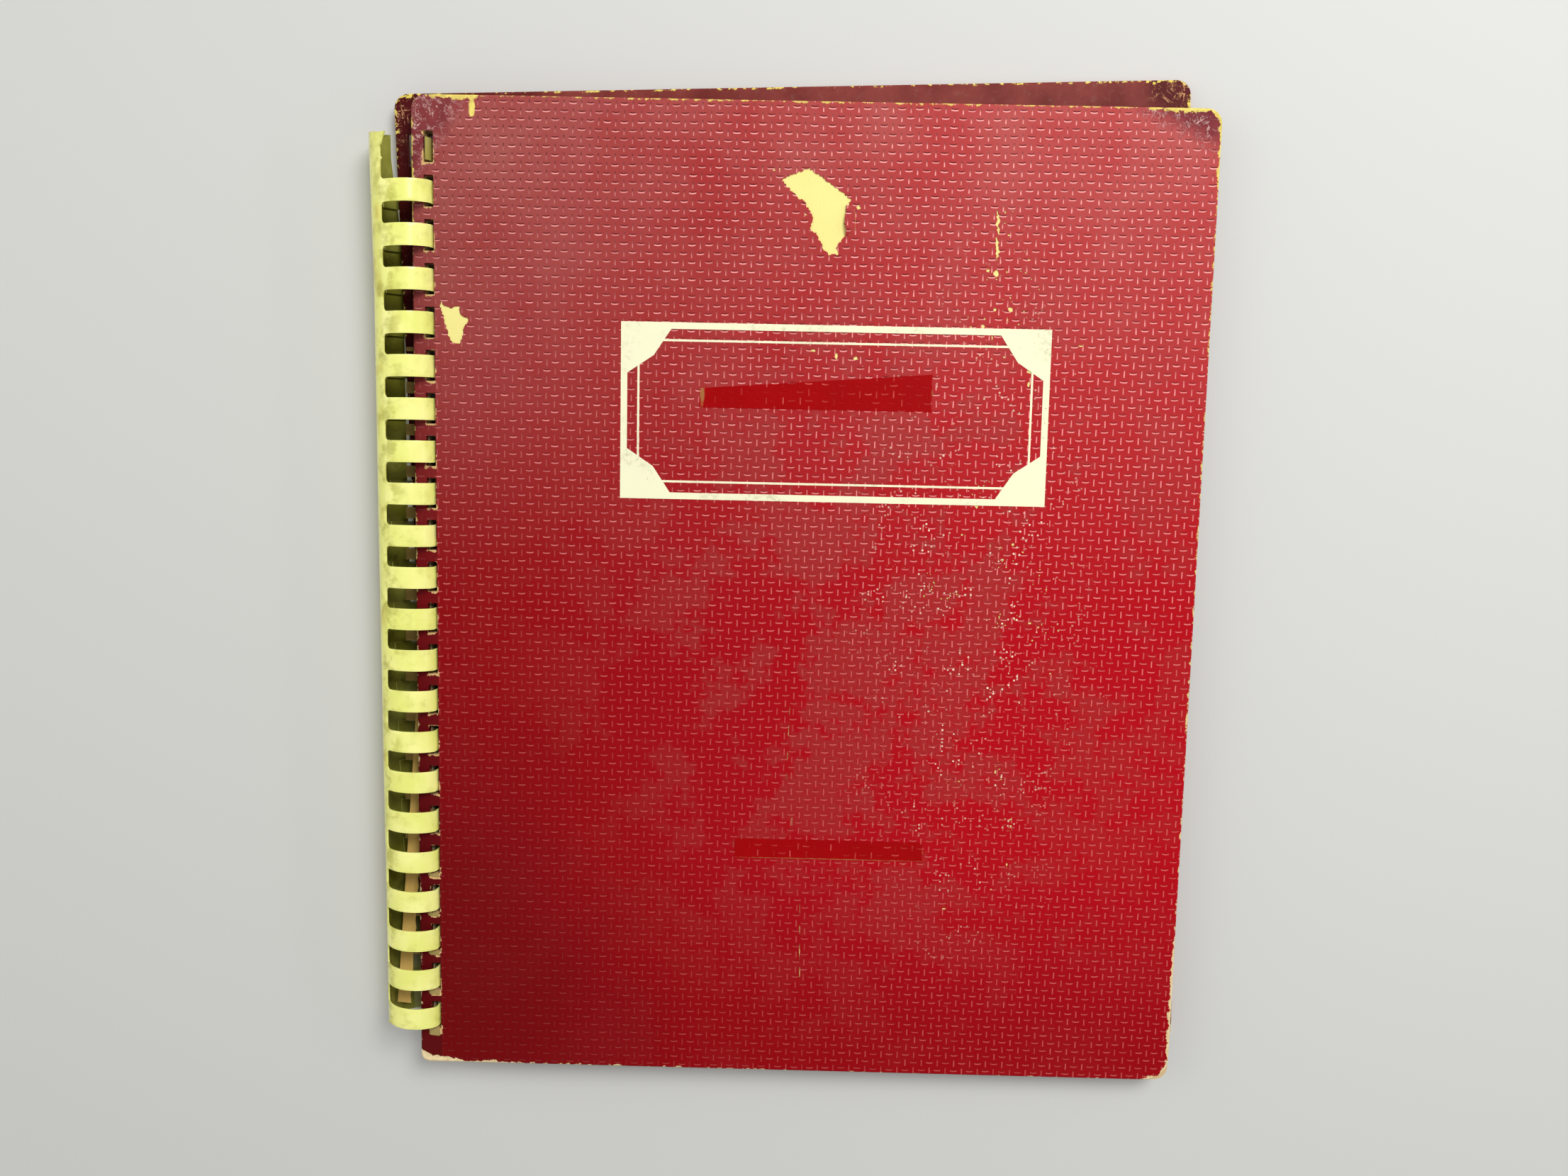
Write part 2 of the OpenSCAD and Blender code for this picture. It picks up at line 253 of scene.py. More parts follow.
def move_points(piece, mover):
    """Moves every vertex by hand: mover takes and gives an array of places in millimetres."""
    moved = mover(places_of(piece) / MM)
    piece.data.vertices.foreach_set("co", (moved * MM).reshape(-1))
    piece.data.update()


def take_away(piece, tool, crossing=False):
    """Cuts the tool's shape out of the piece and throws the tool away."""
    modify(piece, "BOOLEAN", operation="DIFFERENCE", solver="EXACT", use_self=crossing, object=tool)
    bpy.data.objects.remove(tool)


def smooth(piece, degrees=35):
    only(piece)
    bpy.ops.object.shade_smooth_by_angle(angle=math.radians(degrees))


def count(piece):
    piece.data.calc_loop_triangles()
    print(piece.name, len(piece.data.loop_triangles), "triangles")


# %% [markdown]
# ## The front cover
#
# A grey board wrapped in leatherette, with the edges turned in. A block with rounded corners
# and softened rims gives the turned-over cloth. It is bisected at the crease, so that the
# crease can be pressed in.

# %% Front cover block


def cover_block(name, middle_z, taller):
    """A cover's block. The skin stands out a little at the top, where the real cover is warped."""
    block = cube(name, (COVER_W, COVER_H + taller, SKIN_T), (0, taller / 2, middle_z))
    open_mesh(block)
    for there, radius, segments in (
        (lambda x, y: y > 0, CORNER_R, 7),
        (lambda x, y: x > 0 and y < 0, 8, 10),
        (lambda x, y: x < 0 and y < 0, 3, 6),
    ):
        upright = lambda middle, way: abs(way.z) > 0.9 and there(middle.x, middle.y)
        round_edges(upright, radius, segments)
    round_edges(lambda middle, way: abs(abs(middle.z - middle_z) - SKIN_T / 2) < 0.01, 0.7, 3)
    pick("FACE", lambda middle, normal: abs(normal.z) > 0.99)
    bpy.ops.mesh.inset(thickness=0.25 * MM)
    close_mesh()
    return block


def press_crease(skin, steps, outside, depth):
    """Cuts edges beside the crease and presses it in, where a height is on the outside."""
    open_mesh(skin)
    cut_at(0, [crease_x + step for step in steps])
    close_mesh()

    def press(places):
        off, outer = np.abs(places[:, 0] - crease_x), outside(places[:, 2])
        groove = depth * (1 - (off / CREASE_HALF) ** 2)
        places[:, 2] -= np.where(outer & (off < CREASE_HALF), groove, 0)
        return places

    move_points(skin, press)


CREASE_HALF = 0.9
crease_x = cover_spot(CREASE, 0)[0]
front_skin = cover_block("front_cover_skin", FRONT_TOP - SKIN_T / 2, FRONT_TALLER)
bend_steps = (-1.6, -1.0, -0.6, -0.3, 0, 0.3, 0.6, 1.0, 1.6)
press_crease(front_skin, bend_steps, lambda z: z > FRONT_TOP - 0.1, 0.07)
count(front_skin)

# %% [markdown]
# The holes are punched through cloth and board at once. One punch is made and repeated down
# the spine with an Array, and a Boolean takes all 22 out of the cover.

# %% Punch the front holes
hole_x = cover_spot(HOLE_MARGIN + HOLE_W / 2, 0)[0]
punch = cube("hole_punch", (HOLE_W - 0.1, HOLE_H - 0.1, 8), (hole_x, hole_y(0), FRONT_TOP))
open_mesh(punch)
round_edges(lambda middle, way: abs(way.z) > 0.9, 0.35, 2)
close_mesh()
modify(
    punch, "ARRAY", count=HOLE_COUNT, use_relative_offset=False,
    use_constant_offset=True, constant_offset_displace=(0, -HOLE_PITCH * MM, 0),
)
take_away(front_skin, punch)
count(front_skin)

# %% [markdown]
# ## Where the leatherette has torn away
#
# Pieces of the leatherette are gone, and the pale board shows below. Each place is a shallow
# recess: a circle's points are laid on the ragged outline, the circle is extruded to a block,
# and one Boolean takes all the blocks out of the skin, down to just over the board.

# %% Tears in the front cover
TEAR = 0.28
chance = random.Random(7)


def ragged(outline, step, rough):
    """Splits the sides of an outline and pushes the new points in and out, like torn paper."""
    torn = []
    for (u0, v0), (u1, v1) in zip(outline, outline[1:] + outline[:1]):
        wide, high = u1 - u0, v1 - v0
        long = math.hypot(wide, high)
        parts = max(1, round(long / step))
        for k in range(parts):
            t, push = k / parts, chance.uniform(-rough, rough) / long
            torn.append((u0 + wide * t - high * push, v0 + high * t + wide * push))
    return torn


def blot(u, v, wide, high, points=9):
    """A small ragged outline round a place."""
    turns = [2 * math.pi * k / points for k in range(points)]
    return [
        (
            u + wide * math.cos(t) * chance.uniform(0.6, 1.2),
            v + high * math.sin(t) * chance.uniform(0.6, 1.2),
        )
        for t in turns
    ]


def slit(start, end, width, wander, parts=14):
    """A thin crooked outline from start to end."""
    left, right = [], []
    for k in range(parts + 1):
        t = k / parts
        u = start[0] + (end[0] - start[0]) * t + chance.uniform(-wander, wander)
        v = start[1] + (end[1] - start[1]) * t
        half = width / 2 * chance.uniform(0.35, 1.0) * math.sin(math.pi * (0.1 + 0.8 * t))
        left.append((u - half, v))
        right.append((u + half, v))
    return left + right[::-1]


def prism(name, outline, bottom, top):
    """A block whose outline is given in mm on the cover."""
    bpy.ops.mesh.primitive_circle_add(vertices=len(outline), radius=MM, fill_type="NGON")
    block = keep_as(name)

    def lay(places):
        places[:, :2] = [cover_spot(u, v) for u, v in outline]
        places[:, 2] = bottom
        return places

    move_points(block, lay)
    open_mesh(block)
    thicken(top - bottom)
    close_mesh()
    return block


def join_as(name, pieces):
    bpy.ops.object.select_all(action="DESELECT")
    for piece in pieces:
        piece.select_set(True)
    bpy.context.view_layer.objects.active = pieces[0]
    bpy.ops.object.join()
    pieces[0].name = pieces[0].data.name = name
    return pieces[0]


big_tear = [
    (122.6, 308.9), (125.7, 310.7), (131.9, 312.7), (134.2, 311.3), (137.4, 309.2), (141.5, 306.2),
    (146.1, 302.8), (144.3, 300.2), (144.0, 297.1), (144.0, 293.6), (144.8, 291.9), (143.2, 289.7),
    (141.5, 287.9), (142.0, 285.2), (138.9, 285.2), (137.0, 286.4), (136.1, 289.1), (135.1, 291.2),
    (133.3, 292.9), (132.4, 293.4), (133.2, 296.9), (131.8, 299.5), (130.4, 302.1), (127.7, 303.7),
    (125.4, 305.9),
]
small_tear = [
    (9.4, 267.6), (10.1, 266.4), (11.2, 265.7), (12.7, 265.2), (15.6, 265.8), (15.9, 263.7),
    (17.0, 262.6), (18.7, 261.6), (17.7, 259.8), (17.0, 258.0), (16.4, 255.1), (15.8, 253.7),
    (13.3, 253.6), (12.6, 255.0), (11.9, 256.1), (11.2, 258.9), (10.3, 261.8), (9.9, 263.6),
    (9.2, 266.0),
]
outlines = [ragged(big_tear, 0.5, 0.38), ragged(small_tear, 0.5, 0.25)]
outlines += [slit((194.2, 300.6), (195.0, 292.4), 1.7, 0.4)]
outlines += [slit((194.4, 291.9), (194.9, 284.1), 1.5, 0.4)]
for u, v, wide, high in (

    (120.3, 312.0, 0.5, 0.35), (122.1, 312.5, 0.3, 0.4), (148.4, 300.5, 0.7, 0.9),
    (131.0, 297.9, 0.35, 0.5), (196.9, 300.0, 0.35, 0.5), (199.4, 300.2, 0.35, 0.3),
    (196.9, 296.4, 0.3, 0.35), (198.3, 292.6, 0.6, 0.4), (194.6, 280.0, 0.9, 1.3),
    (191.9, 281.0, 0.6, 0.7), (198.2, 280.6, 0.3, 0.5), (191.7, 278.0, 0.3, 0.3),
    (200.0, 268.3, 1.0, 1.0), (194.7, 268.2, 0.7, 0.7), (199.7, 272.2, 0.3, 0.5),
    (197.3, 271.6, 0.3, 0.2), (191.0, 262.6, 0.7, 0.9), (191.4, 265.2, 0.35, 0.5),
    (187.0, 262.5, 0.35, 0.4), (187.3, 259.9, 0.3, 0.3), (223.8, 256.9, 0.9, 0.4),
    (194.2, 259.0, 0.3, 0.9), (207.8, 248.2, 2.1, 0.8), (207.0, 243.8, 0.5, 1.3),
    (191.5, 209.0, 0.35, 0.9), (191.2, 202.6, 0.4, 0.8), (207.3, 91.6, 0.5, 0.5),
    (206.4, 77.9, 0.35, 0.6), (201.1, 111.0, 0.35, 0.8), (210.9, 163.2, 0.7, 0.4),
    (200.3, 165.0, 0.3, 0.7), (185.1, 61.3, 0.9, 0.3), (201.3, 68.8, 0.4, 0.4),
    (218.6, 145.9, 0.4, 0.4), (191.1, 203.0, 0.8, 1.1), (142.3, 252.0, 0.6, 1.0),
    (148.8, 251.3, 1.0, 0.7), (134.6, 253.6, 1.1, 0.5), (186.5, 193.0, 0.5, 0.5),
    (204.0, 190.0, 0.5, 0.6),
):
    outlines.append(blot(u, v, wide, high))
# small specks rubbed through on the outer half, in a few clouds
clouds = (
    (176.5, 178, 4, 8), (180, 171, 6, 4), (203, 165, 9, 5), (216, 160, 6, 5), (201, 186, 7, 6),
    (202, 112, 3, 9), (207, 92, 3, 4), (196, 262, 12, 8), (207, 285, 7, 16), (190, 104, 6, 5),
    (192, 208, 3, 5), (215, 178, 8, 6),
)
for u, v, wide, high in clouds:
    for k in range(9):
        size = chance.uniform(0.2, 0.42)
        outlines.append(blot(chance.gauss(u, wide / 2), chance.gauss(v, high / 2), size, size, 6))
# long thin scratches
for start, end, width in (
    ((87.3, 303.0), (97.8, 293.1), 0.22), ((110.5, 83.3), (114.7, 76.9), 0.26),
    ((129.3, 132.6), (129.2, 128.6), 0.3), ((129.1, 126.2), (129.0, 121.4), 0.35),
    ((128.9, 117.0), (128.8, 112.6), 0.25), ((128.8, 109.2), (128.7, 106.0), 0.22),
    ((130.9, 93.2), (130.9, 89.4), 0.35), ((134.3, 62.4), (134.4, 57.8), 0.25),
    ((134.5, 54.6), (134.5, 50.2), 0.3), ((134.6, 47.4), (134.7, 41.0), 0.35),
    ((134.8, 39.0), (134.9, 34.6), 0.4),
):
    outlines.append(slit(start, end, width, 0.06, 8))
# the comb pulls hardest on the lowest holes, which are torn further down
for i, lower in ((17, 1.3), (18, 1.5), (19, 1.4), (20, 1.8), (21, 2.7)):
    edge = hole_y(i) - HOLE_H / 2 + COVER_H / 2
    top, foot = edge + 0.3, edge - lower
    left, right = HOLE_MARGIN - 1.0, HOLE_MARGIN + HOLE_W - 0.5
    box = [(left, top), (right, top), (right, foot), (left + 0.9, foot + 0.2), (left, foot + 0.6)]
    outlines.append(ragged(box, 0.7, 0.15))
blocks = [prism("tear", outline, FRONT_TOP - TEAR, FRONT_TOP + 1) for outline in outlines]
take_away(front_skin, join_as("tears", blocks), crossing=True)
print(len(outlines), "torn places")
count(front_skin)

# %% [markdown]
# Beside the large tear a tongue of leatherette still hangs on and has curled up a little. It is
# a small grid, laid on an oval, lifted towards its torn edge and given a thickness.

# %% The curled tongue


def grid(name, size, middle, columns, rows):
    """A flat grid of a size in millimetres. Its scale is set after it is added."""
    bpy.ops.mesh.primitive_grid_add(
        x_subdivisions=columns, y_subdivisions=rows, size=1, location=[c * MM for c in middle]
    )
    bpy.context.active_object.scale = (size[0] * MM, size[1] * MM, 1)
    return keep_as(name)


tongue = grid("leatherette_tongue", (1, 1), (0.5, 0.5, 0), 8, 14)


def curl_tongue(places):
    across, up = np.clip(places[:, 0], 0, 1), np.clip(places[:, 1], 0, 1)
    oval = np.sqrt(np.clip(1 - (2 * up - 1) ** 2, 0, 1))
    x, y = cover_spot(144.1, 291.0)
    wavy = 0.25 * np.sin(9 * up)
    places[:, 0] = x + wavy + across * (0.25 + 3.3 * oval)
    places[:, 1] = y + 10.2 * up
    places[:, 2] = FRONT_TOP + 0.06 + (1 - across) ** 2 * (1.1 + 0.4 * np.sin(7 * up)) * oval
    return places


move_points(tongue, curl_tongue)
modify(tongue, "SOLIDIFY", thickness=0.3 * MM, offset=0)
modify(tongue, "SUBSURF", levels=1, render_levels=1)
smooth(tongue)
count(tongue)

# %% [markdown]
# ## The printed frame
#
# The middle of the cover carries a print in thick cream ink. Here it is a plain picture frame
# with photo corners. A plane is inset, its middle is deleted, and the ring that is left is
# extruded to the thickness of the ink. The four corners are triangles.

# %% Printed frame
INK, SUNK, LEG = 0.05, 0.02, 15


def printed_ring(low, high, stroke):
    """A printed line round a rectangle, given by two corners in mm on the cover."""
    (x0, y0), (x1, y1) = cover_spot(*low), cover_spot(*high)
    middle = ((x0 + x1) / 2, (y0 + y1) / 2, FRONT_TOP - SUNK)
    ring = grid("printed_ring", (x1 - x0, y1 - y0), middle, 1, 1)
    open_mesh(ring)
    bpy.ops.mesh.inset(thickness=stroke * MM)
    bpy.ops.mesh.delete(type="FACE")
    thicken(INK + SUNK)
    close_mesh()
    return ring


printed = [
    printed_ring((70, 203), (214, 262), 2.2), printed_ring((75.6, 208.6), (208.4, 256.4), 0.7)
]
for u, v, right, up in ((72, 260, 1, -1), (212, 260, -1, -1), (72, 205, 1, 1), (212, 205, -1, 1)):
    steps = (0, 0), (1, 0), (0.6, 0.6), (0, 1)
    corner = [(u + right * LEG * a, v + up * LEG * b) for a, b in steps]
    printed.append(prism("photo_corner", corner, FRONT_TOP - SUNK, FRONT_TOP + INK + 0.01))
print_piece = join_as("printed_frame", printed)
count(print_piece)

# %% [markdown]
# ## The back cover
#
# It is the same board, face down, turned by two degrees and slipped upwards. The comb has
# worn its holes into slots, and the lowest slots are torn open through the edge.

# %% Back cover block
BACK_EDGE, BACK_SLIP, BACK_SKEW = 0.9, 0.9, math.radians(2)
back_skin = cover_block("back_cover_skin", SKIN_T / 2, BACK_TALLER)
press_crease(back_skin, (-0.9, -0.6, -0.3, 0, 0.3, 0.6, 0.9), lambda z: z < 0.1, -0.16)


def ring_x(z, r):
    return math.sqrt(r * r - z * z)


def on_back(x, y):
    """A place given from the ring axis, as seen from the turned back cover's spine edge."""
    c, s = math.cos(BACK_SKEW), math.sin(BACK_SKEW)
    return (x - BACK_EDGE) * c + (y - BACK_SLIP) * s, (y - BACK_SLIP) * c - (x - BACK_EDGE) * s


def worn_slot(i):
    """The slot that finger i has worn: its lowest and highest x and y on the back cover."""
    y = finger_y(i)
    near = ring_x(-AXIS_Z, RING_R - PLASTIC_T / 2) - 1.6
    far = ring_x(COVER_T - AXIS_Z, RING_R + PLASTIC_T / 2) + 0.4
    torn = min(HOLE_MARGIN, on_back(near, y)[0])
    x0 = -1 if torn < 1.2 else torn
    x1 = max(HOLE_MARGIN + HOLE_W, on_back(far, y)[0])
    middle = on_back((near + far) / 2, y)[1]
    half = FINGER_W / 2 + 0.4 + far * math.sin(BACK_SKEW) / 2
    y0 = min(hole_y(i) - HOLE_H / 2, middle - half)
    y1 = max(hole_y(i) + HOLE_H / 2, middle + half)
    return x0, x1, y0, y1


slot_tools = []
for i in range(HOLE_COUNT):
    x0, x1, y0, y1 = worn_slot(i)
    size, middle = (x1 - x0 - 0.1, y1 - y0 - 0.1, 8), ((x0 + x1 - COVER_W) / 2, (y0 + y1) / 2, 0)
    slot_tools.append(cube("slot_punch", size, middle))
take_away(back_skin, join_as("slot_punches", slot_tools))


def lay_back(places):
    """Turns the back cover about its spine edge and puts it under the block of leaves."""
    c, s = math.cos(BACK_SKEW), math.sin(BACK_SKEW)
    x, y = places[:, 0] + COVER_W / 2, places[:, 1].copy()
    places[:, 0] = AXIS_X + BACK_EDGE + c * x - s * y
    places[:, 1] = BACK_SLIP + s * x + c * y
    return places


move_points(back_skin, lay_back)
count(back_skin)

# %% [markdown]
# ## The plastic comb
#
# A binding comb is stamped from flat plastic sheet and curled hot. It is made the same way
# here: one finger with its length of band is modelled flat, repeated 22 times, twisted as the
# old comb has, and curled with Simple Deform. Its flat places are kept as a UV map, so that the
# finish can follow the sheet round the curl.

# %% The flat finger
ARC = RING_R * math.pi / 180
BAND_L, FINGER_L, TUCK_L = 128 * ARC, 164 * ARC, 109 * ARC
WEB_R, TAIL, STUB, HOLE_TURN = 1.6, 2.0, 2.7, 22
whole_l = FINGER_L + TUCK_L
comb = grid("comb_plastic", (whole_l, FINGER_W), (whole_l / 2, finger_y(0), 0), 40, 8)
open_mesh(comb)
webs = [math.radians(a) for a in (0, 15, 30, 45, 60, 75)]
cut_at(0, [WEB_R * (1 - math.cos(t)) for t in webs[1:]] + [WEB_R])
for t in webs:
    row = WEB_R * (1 - math.cos(t))
    pick("VERT", lambda place: abs(place.x - row) < 0.02)
    wider = 1 + WEB_R * (1 - math.sin(t)) / (FINGER_W / 2)
    bpy.ops.transform.resize(value=(1, wider, 1), center_override=(0, finger_y(0) * MM, 0))
pick("EDGE", lambda middle, way: abs(middle.x) < 0.01 and abs(way.y) > 0.9)
for step in range(10):
    extrude(-BAND_L / 10, 0, 0)
web_side = FINGER_W / 2 + WEB_R
for side in (1, -1):
    pick(
        "EDGE",
        lambda middle, way: abs(middle.y - finger_y(0) - side * web_side) < 0.01
        and abs(way.x) > 0.9 and middle.x < 0,
    )
    extrude(0, side * (COMB_PITCH / 2 - web_side), 0)
close_mesh()
count(comb)

# %% [markdown]
# An Array repeats the finger with its length of band, and both ends of the row are trimmed. The
# first finger is cut down to a torn stub. Then every corner's flat place goes to the UV map.

# %% The whole flat comb
modify(
    comb, "ARRAY", count=HOLE_COUNT, use_relative_offset=False, use_constant_offset=True,
    constant_offset_displace=(0, -COMB_PITCH * MM, 0),
    use_merge_vertices=True, merge_threshold=0.02 * MM,
)
comb_top = finger_y(0) + FINGER_W / 2
comb_end = finger_y(HOLE_COUNT - 1) - FINGER_W / 2 - TAIL
open_mesh(comb)
bpy.ops.mesh.bisect(plane_co=(0, comb_top * MM, 0), plane_no=(0, 1, 0), clear_outer=True)
bpy.ops.mesh.select_all(action="SELECT")
bpy.ops.mesh.bisect(plane_co=(0, comb_end * MM, 0), plane_no=(0, 1, 0), clear_inner=True)
first_low = finger_y(0) - COMB_PITCH / 2
pick("VERT", lambda place: place.y > first_low and place.x > STUB + 0.5)
bpy.ops.mesh.delete(type="VERT")
close_mesh()


def tear_stub(places):
    """The first finger broke off along a slanting, ragged line."""
    down = (comb_top - places[:, 1]) / FINGER_W
    edge = np.clip(STUB * (1 - down / 0.55), 0, None) + 0.25 * np.sin(23 * down)
    stub = (places[:, 1] > finger_y(0) - FINGER_W / 2 - 0.1) & (places[:, 0] > 0.01)
    torn = places[:, 0] / (STUB + 0.5) * np.clip(edge, 0.05, None)
    places[:, 0] = np.where(stub, torn, places[:, 0])
    return places


move_points(comb, tear_stub)
flat = places_of(comb)
corner = np.empty(len(comb.data.loops), dtype=int)
comb.data.loops.foreach_get("vertex_index", corner)
sheet_map = comb.data.uv_layers.new(name="flat_sheet")
sheet_map.data.foreach_set("uv", flat[corner, :2].astype(np.float32).reshape(-1))
count(comb)

# %% [markdown]
# Simple Deform's bend curls what lies along z about the y axis, with its turning centre to the
# right. So the sheet is stood on its edge, each finger is pushed along its arc by the twist,
# and the tips are moved inwards to lie inside the band.

# %% Twist and curl the comb


def ready_to_curl(places):
    """Stands the sheet on edge, with its fingers askew and their tips moved inwards."""
    along, y = places[:, 0].copy(), places[:, 1].copy()
    angle = root_angle(y)
    down = down_spine(y)
    # the band is narrower at both ends
    band = 0.86 + 0.14 * np.clip(down / 0.1, 0, 1) - 0.1 * np.clip(down / 0.25 - 3, 0, 1)
    along = np.where(along < 0, along * band, along)
    # each finger leans from its root to its hole, and its tip leans back
    hole = (angle - math.radians(HOLE_TURN)) * RING_R
    reach = np.clip(along / hole, 0, 1)
    past_hole = np.clip((along - hole) / 8, 0, 1)
    root, tip = -1.1 + 1.9 * down, (0.2 - 1.7 * down) * (1 - past_hole)
    end = np.clip((y - comb_top + 4) / 4, 0, 1)
    slant = end * (0.9 + 0.17 * np.clip(-along, 0, 20))
    places[:, 1] = y + root * (1 - reach) + tip * reach + slant
    past = np.clip((along - FINGER_L) / RING_R, 0, None)
    inwards = 0.2 * np.clip(past / 0.12, 0, 1) + 0.8 * np.sin(np.clip(past, 0, None))
    places[:, 0] = np.where(along > FINGER_L, inwards, 0)
    places[:, 2] = along + RING_R * (math.pi - angle)
    return places


def squash_ring(places):
    """The old rings aren't round: flattened by the spine at the foot, flared at the top end."""
    down = np.clip(down_spine(places[:, 1]), 0, 1)
    left = np.clip(AXIS_X - places[:, 0], 0, None)
    flare = 0.10 * np.clip(1 - down / 0.16, 0, 1)
    places[:, 0] += left * (0.17 * down**1.5 - flare)
    above = np.clip(places[:, 2] - FRONT_TOP - 0.4, 0, None)
    places[:, 2] -= above * (0.08 + 0.14 * down)
    return places


move_points(comb, ready_to_curl)
heights = places_of(comb)[:, 2]
modify(
    comb, "SIMPLE_DEFORM", deform_method="BEND", deform_axis="Y",
    angle=float(heights.max() - heights.min()) / (RING_R * MM),
)
comb.location = ((AXIS_X - RING_R) * MM, 0, AXIS_Z * MM)
only(comb)
bpy.ops.object.transform_apply(location=True, rotation=True, scale=True)
move_points(comb, squash_ring)
modify(comb, "SOLIDIFY", thickness=PLASTIC_T * MM, offset=0)
sharp = math.radians(60)
modify(comb, "BEVEL", width=0.11 * MM, segments=2, limit_method="ANGLE", angle_limit=sharp)
smooth(comb)
count(comb)
made = places_of(comb) / MM
print("comb from", made.min(axis=0).round(2).tolist(), "to", made.max(axis=0).round(2).tolist())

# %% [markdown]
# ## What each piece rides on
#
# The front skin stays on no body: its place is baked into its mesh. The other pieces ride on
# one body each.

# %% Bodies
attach(back_skin, "back_cover")
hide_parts("back_cover_cloth")
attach(comb, "comb")
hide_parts("binding_comb")
for piece in (tongue, print_piece):
    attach(piece, "front_panel")
smooth(front_skin)
smooth(back_skin)
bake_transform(front_skin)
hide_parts("front_strip_cloth", "front_panel_cloth")
print("on bodies:", *[p.name for p in (back_skin, comb, tongue, print_piece, front_skin)])

# %% [markdown]
# ## Finishes
#
# Every finish is procedural. A colour is written as sRGB hex, as a colour picker gives it, and
# one function turns it to the linear values that a shader takes. Another adds a node: what it
# is given goes to the node's sockets in their order.

# %% Helpers for finishes


def srgb(code):
    """A colour written as sRGB hex, turned to the linear values that a shader takes."""
    parts = [int(code[k : k + 2], 16) / 255 for k in (0, 2, 4)]
    return [c / 12.92 if c <= 0.04045 else ((c + 0.055) / 1.055) ** 2.4 for c in parts] + [1.0]


MODES = {
    "Math": "operation", "VectorMath": "operation", "Mix": "data_type",
    "MapRange": "interpolation_type", "Mapping": "vector_type",
}


def add_node(tree, kind, *inputs, named=(), **settings):
    """Adds a node of a kind, with its mode after a dot, as in Math.MULTIPLY.

    Settings are its own fields, and inputs go to its open sockets in their order. An input is a
    value, a colour as hex, a node or one of its outputs.
    """
    kind, _, mode = kind.partition(".")
    if mode:
        settings[MODES[kind]] = mode
    node = tree.nodes.new("ShaderNode" + kind)
    for key, value in settings.items():
        setattr(node, key, value)
    pairs = list(zip([socket for socket in node.inputs if socket.enabled], inputs))
    pairs += [(node.inputs[key], value) for key, value in dict(named).items()]
    for socket, value in pairs:
        if isinstance(value, bpy.types.Node):
            value = next(out for out in value.outputs if out.enabled)
        if isinstance(value, bpy.types.NodeSocket):
            tree.links.new(value, socket)
        elif value is not None:
            socket.default_value = srgb(value) if isinstance(value, str) else value
    return node


def new_finish(name):
    """An empty material, the function that adds its nodes, and its place on the object."""
    print("finish", name)
    material = bpy.data.materials.new(name)
    material.use_nodes = True
    material.node_tree.nodes.clear()
    add = partial(add_node, material.node_tree)
    return material, add, add("TexCoord").outputs["Object"]


def end_finish(add, colour, roughness, relief=None, specular=0.5):
    """Ends a material in one Principled shader. Its relief is in millimetres."""
    bump = None if relief is None else add("Bump", 1.0, MM, named={"Height": relief})
    shader = add("BsdfPrincipled", named={
        "Base Color": colour, "Roughness": roughness, "Normal": bump, "IOR": 1.5,
        "Specular IOR Level": specular,
    })
    add("OutputMaterial", shader)


def finish_with(piece, *materials):
    piece.data.materials.clear()
    for material in materials:
        piece.data.materials.append(material)


# %% [markdown]
# ### The pressed pattern
#
# The leatherette was pressed between rollers with a pattern of short strokes, upright and level
# in turn, on a lattice of 2.85 by 2.8 mm. Rounding the place to the lattice tells which stroke
# is nearest, and an odd or even count tells which way it lies. A little noise bends the rows.

# %% Pressed strokes
LATTICE = 2.85, 2.8


def strokes(add, place):
    """The strokes' grooves, their bright parts of wear and painted highlight, their dark parts of
    painted shade, which are level, and a luck for each.
    """
    wander = add("TexNoise", place, 60.0, 1.0)
    bend = add("VectorMath.SUBTRACT", wander.outputs["Color"], (0.5, 0.5, 0.5))
    bent = add("VectorMath.ADD", place, add("VectorMath.SCALE", bend, 1.0 * MM))
    per_metre = (1 / (LATTICE[0] * MM), 1 / (LATTICE[1] * MM), 0)
    cell = add("VectorMath.MULTIPLY", bent, per_metre)
    near = add("VectorMath.FLOOR", add("VectorMath.ADD", cell, (0.5, 0.5, 0.5)))
    off = add("VectorMath.MULTIPLY", add("VectorMath.SUBTRACT", cell, near), (*LATTICE, 0))
    right, up, _ = add("SeparateXYZ", off).outputs
    column, row, _ = add("SeparateXYZ", near).outputs
    level = add("Math.FLOORED_MODULO", add("Math.ADD", column, row), 2.0)
    rise = add("Math.MULTIPLY", up, 1.08)
    along = add("Mix", level, rise, right)
    across = add("Mix", level, right, up)
    # level strokes sag in the middle, upright ones are straight
    sag = add("Math.MULTIPLY", level, -0.13)
    curve = add("Math.MULTIPLY_ADD", add("Math.MULTIPLY", along, along), sag, across)
    reach = add("Math.ABSOLUTE", along)
    ends = add("MapRange.SMOOTHSTEP", reach, 1.0, 1.38, 1.0, 0.0)
    width = add("Math.ABSOLUTE", curve)
    line = add("MapRange.SMOOTHSTEP", width, 0.09, 0.30, 1.0, 0.0)
    line = add("Math.MULTIPLY", line, ends)
    # painted shade: an upright stroke is dark at its upper end, a level one has its dark edge above
    # it, as if lit from the top
    high = add("MapRange", add("SeparateXYZ", place).outputs[1], 0.050, 0.140)
    upper = add("Math.MULTIPLY", add("MapRange", rise, -0.3, 0.5), high)
    lower = add("Math.MULTIPLY_ADD", upper, -0.8, 1.0)
    bright = add("Mix", level, add("Math.MULTIPLY", line, lower), line)
    above = add("Math.ABSOLUTE", add("Math.SUBTRACT", curve, 0.38))
    above = add("MapRange.SMOOTHSTEP", above, 0.12, 0.36, 1.0, 0.0)
    above = add("Math.MULTIPLY", above, ends)
    dark = add("Mix", level, add("Math.MULTIPLY", line, upper), above)
    return line, bright, dark, level, add("TexWhiteNoise", near)


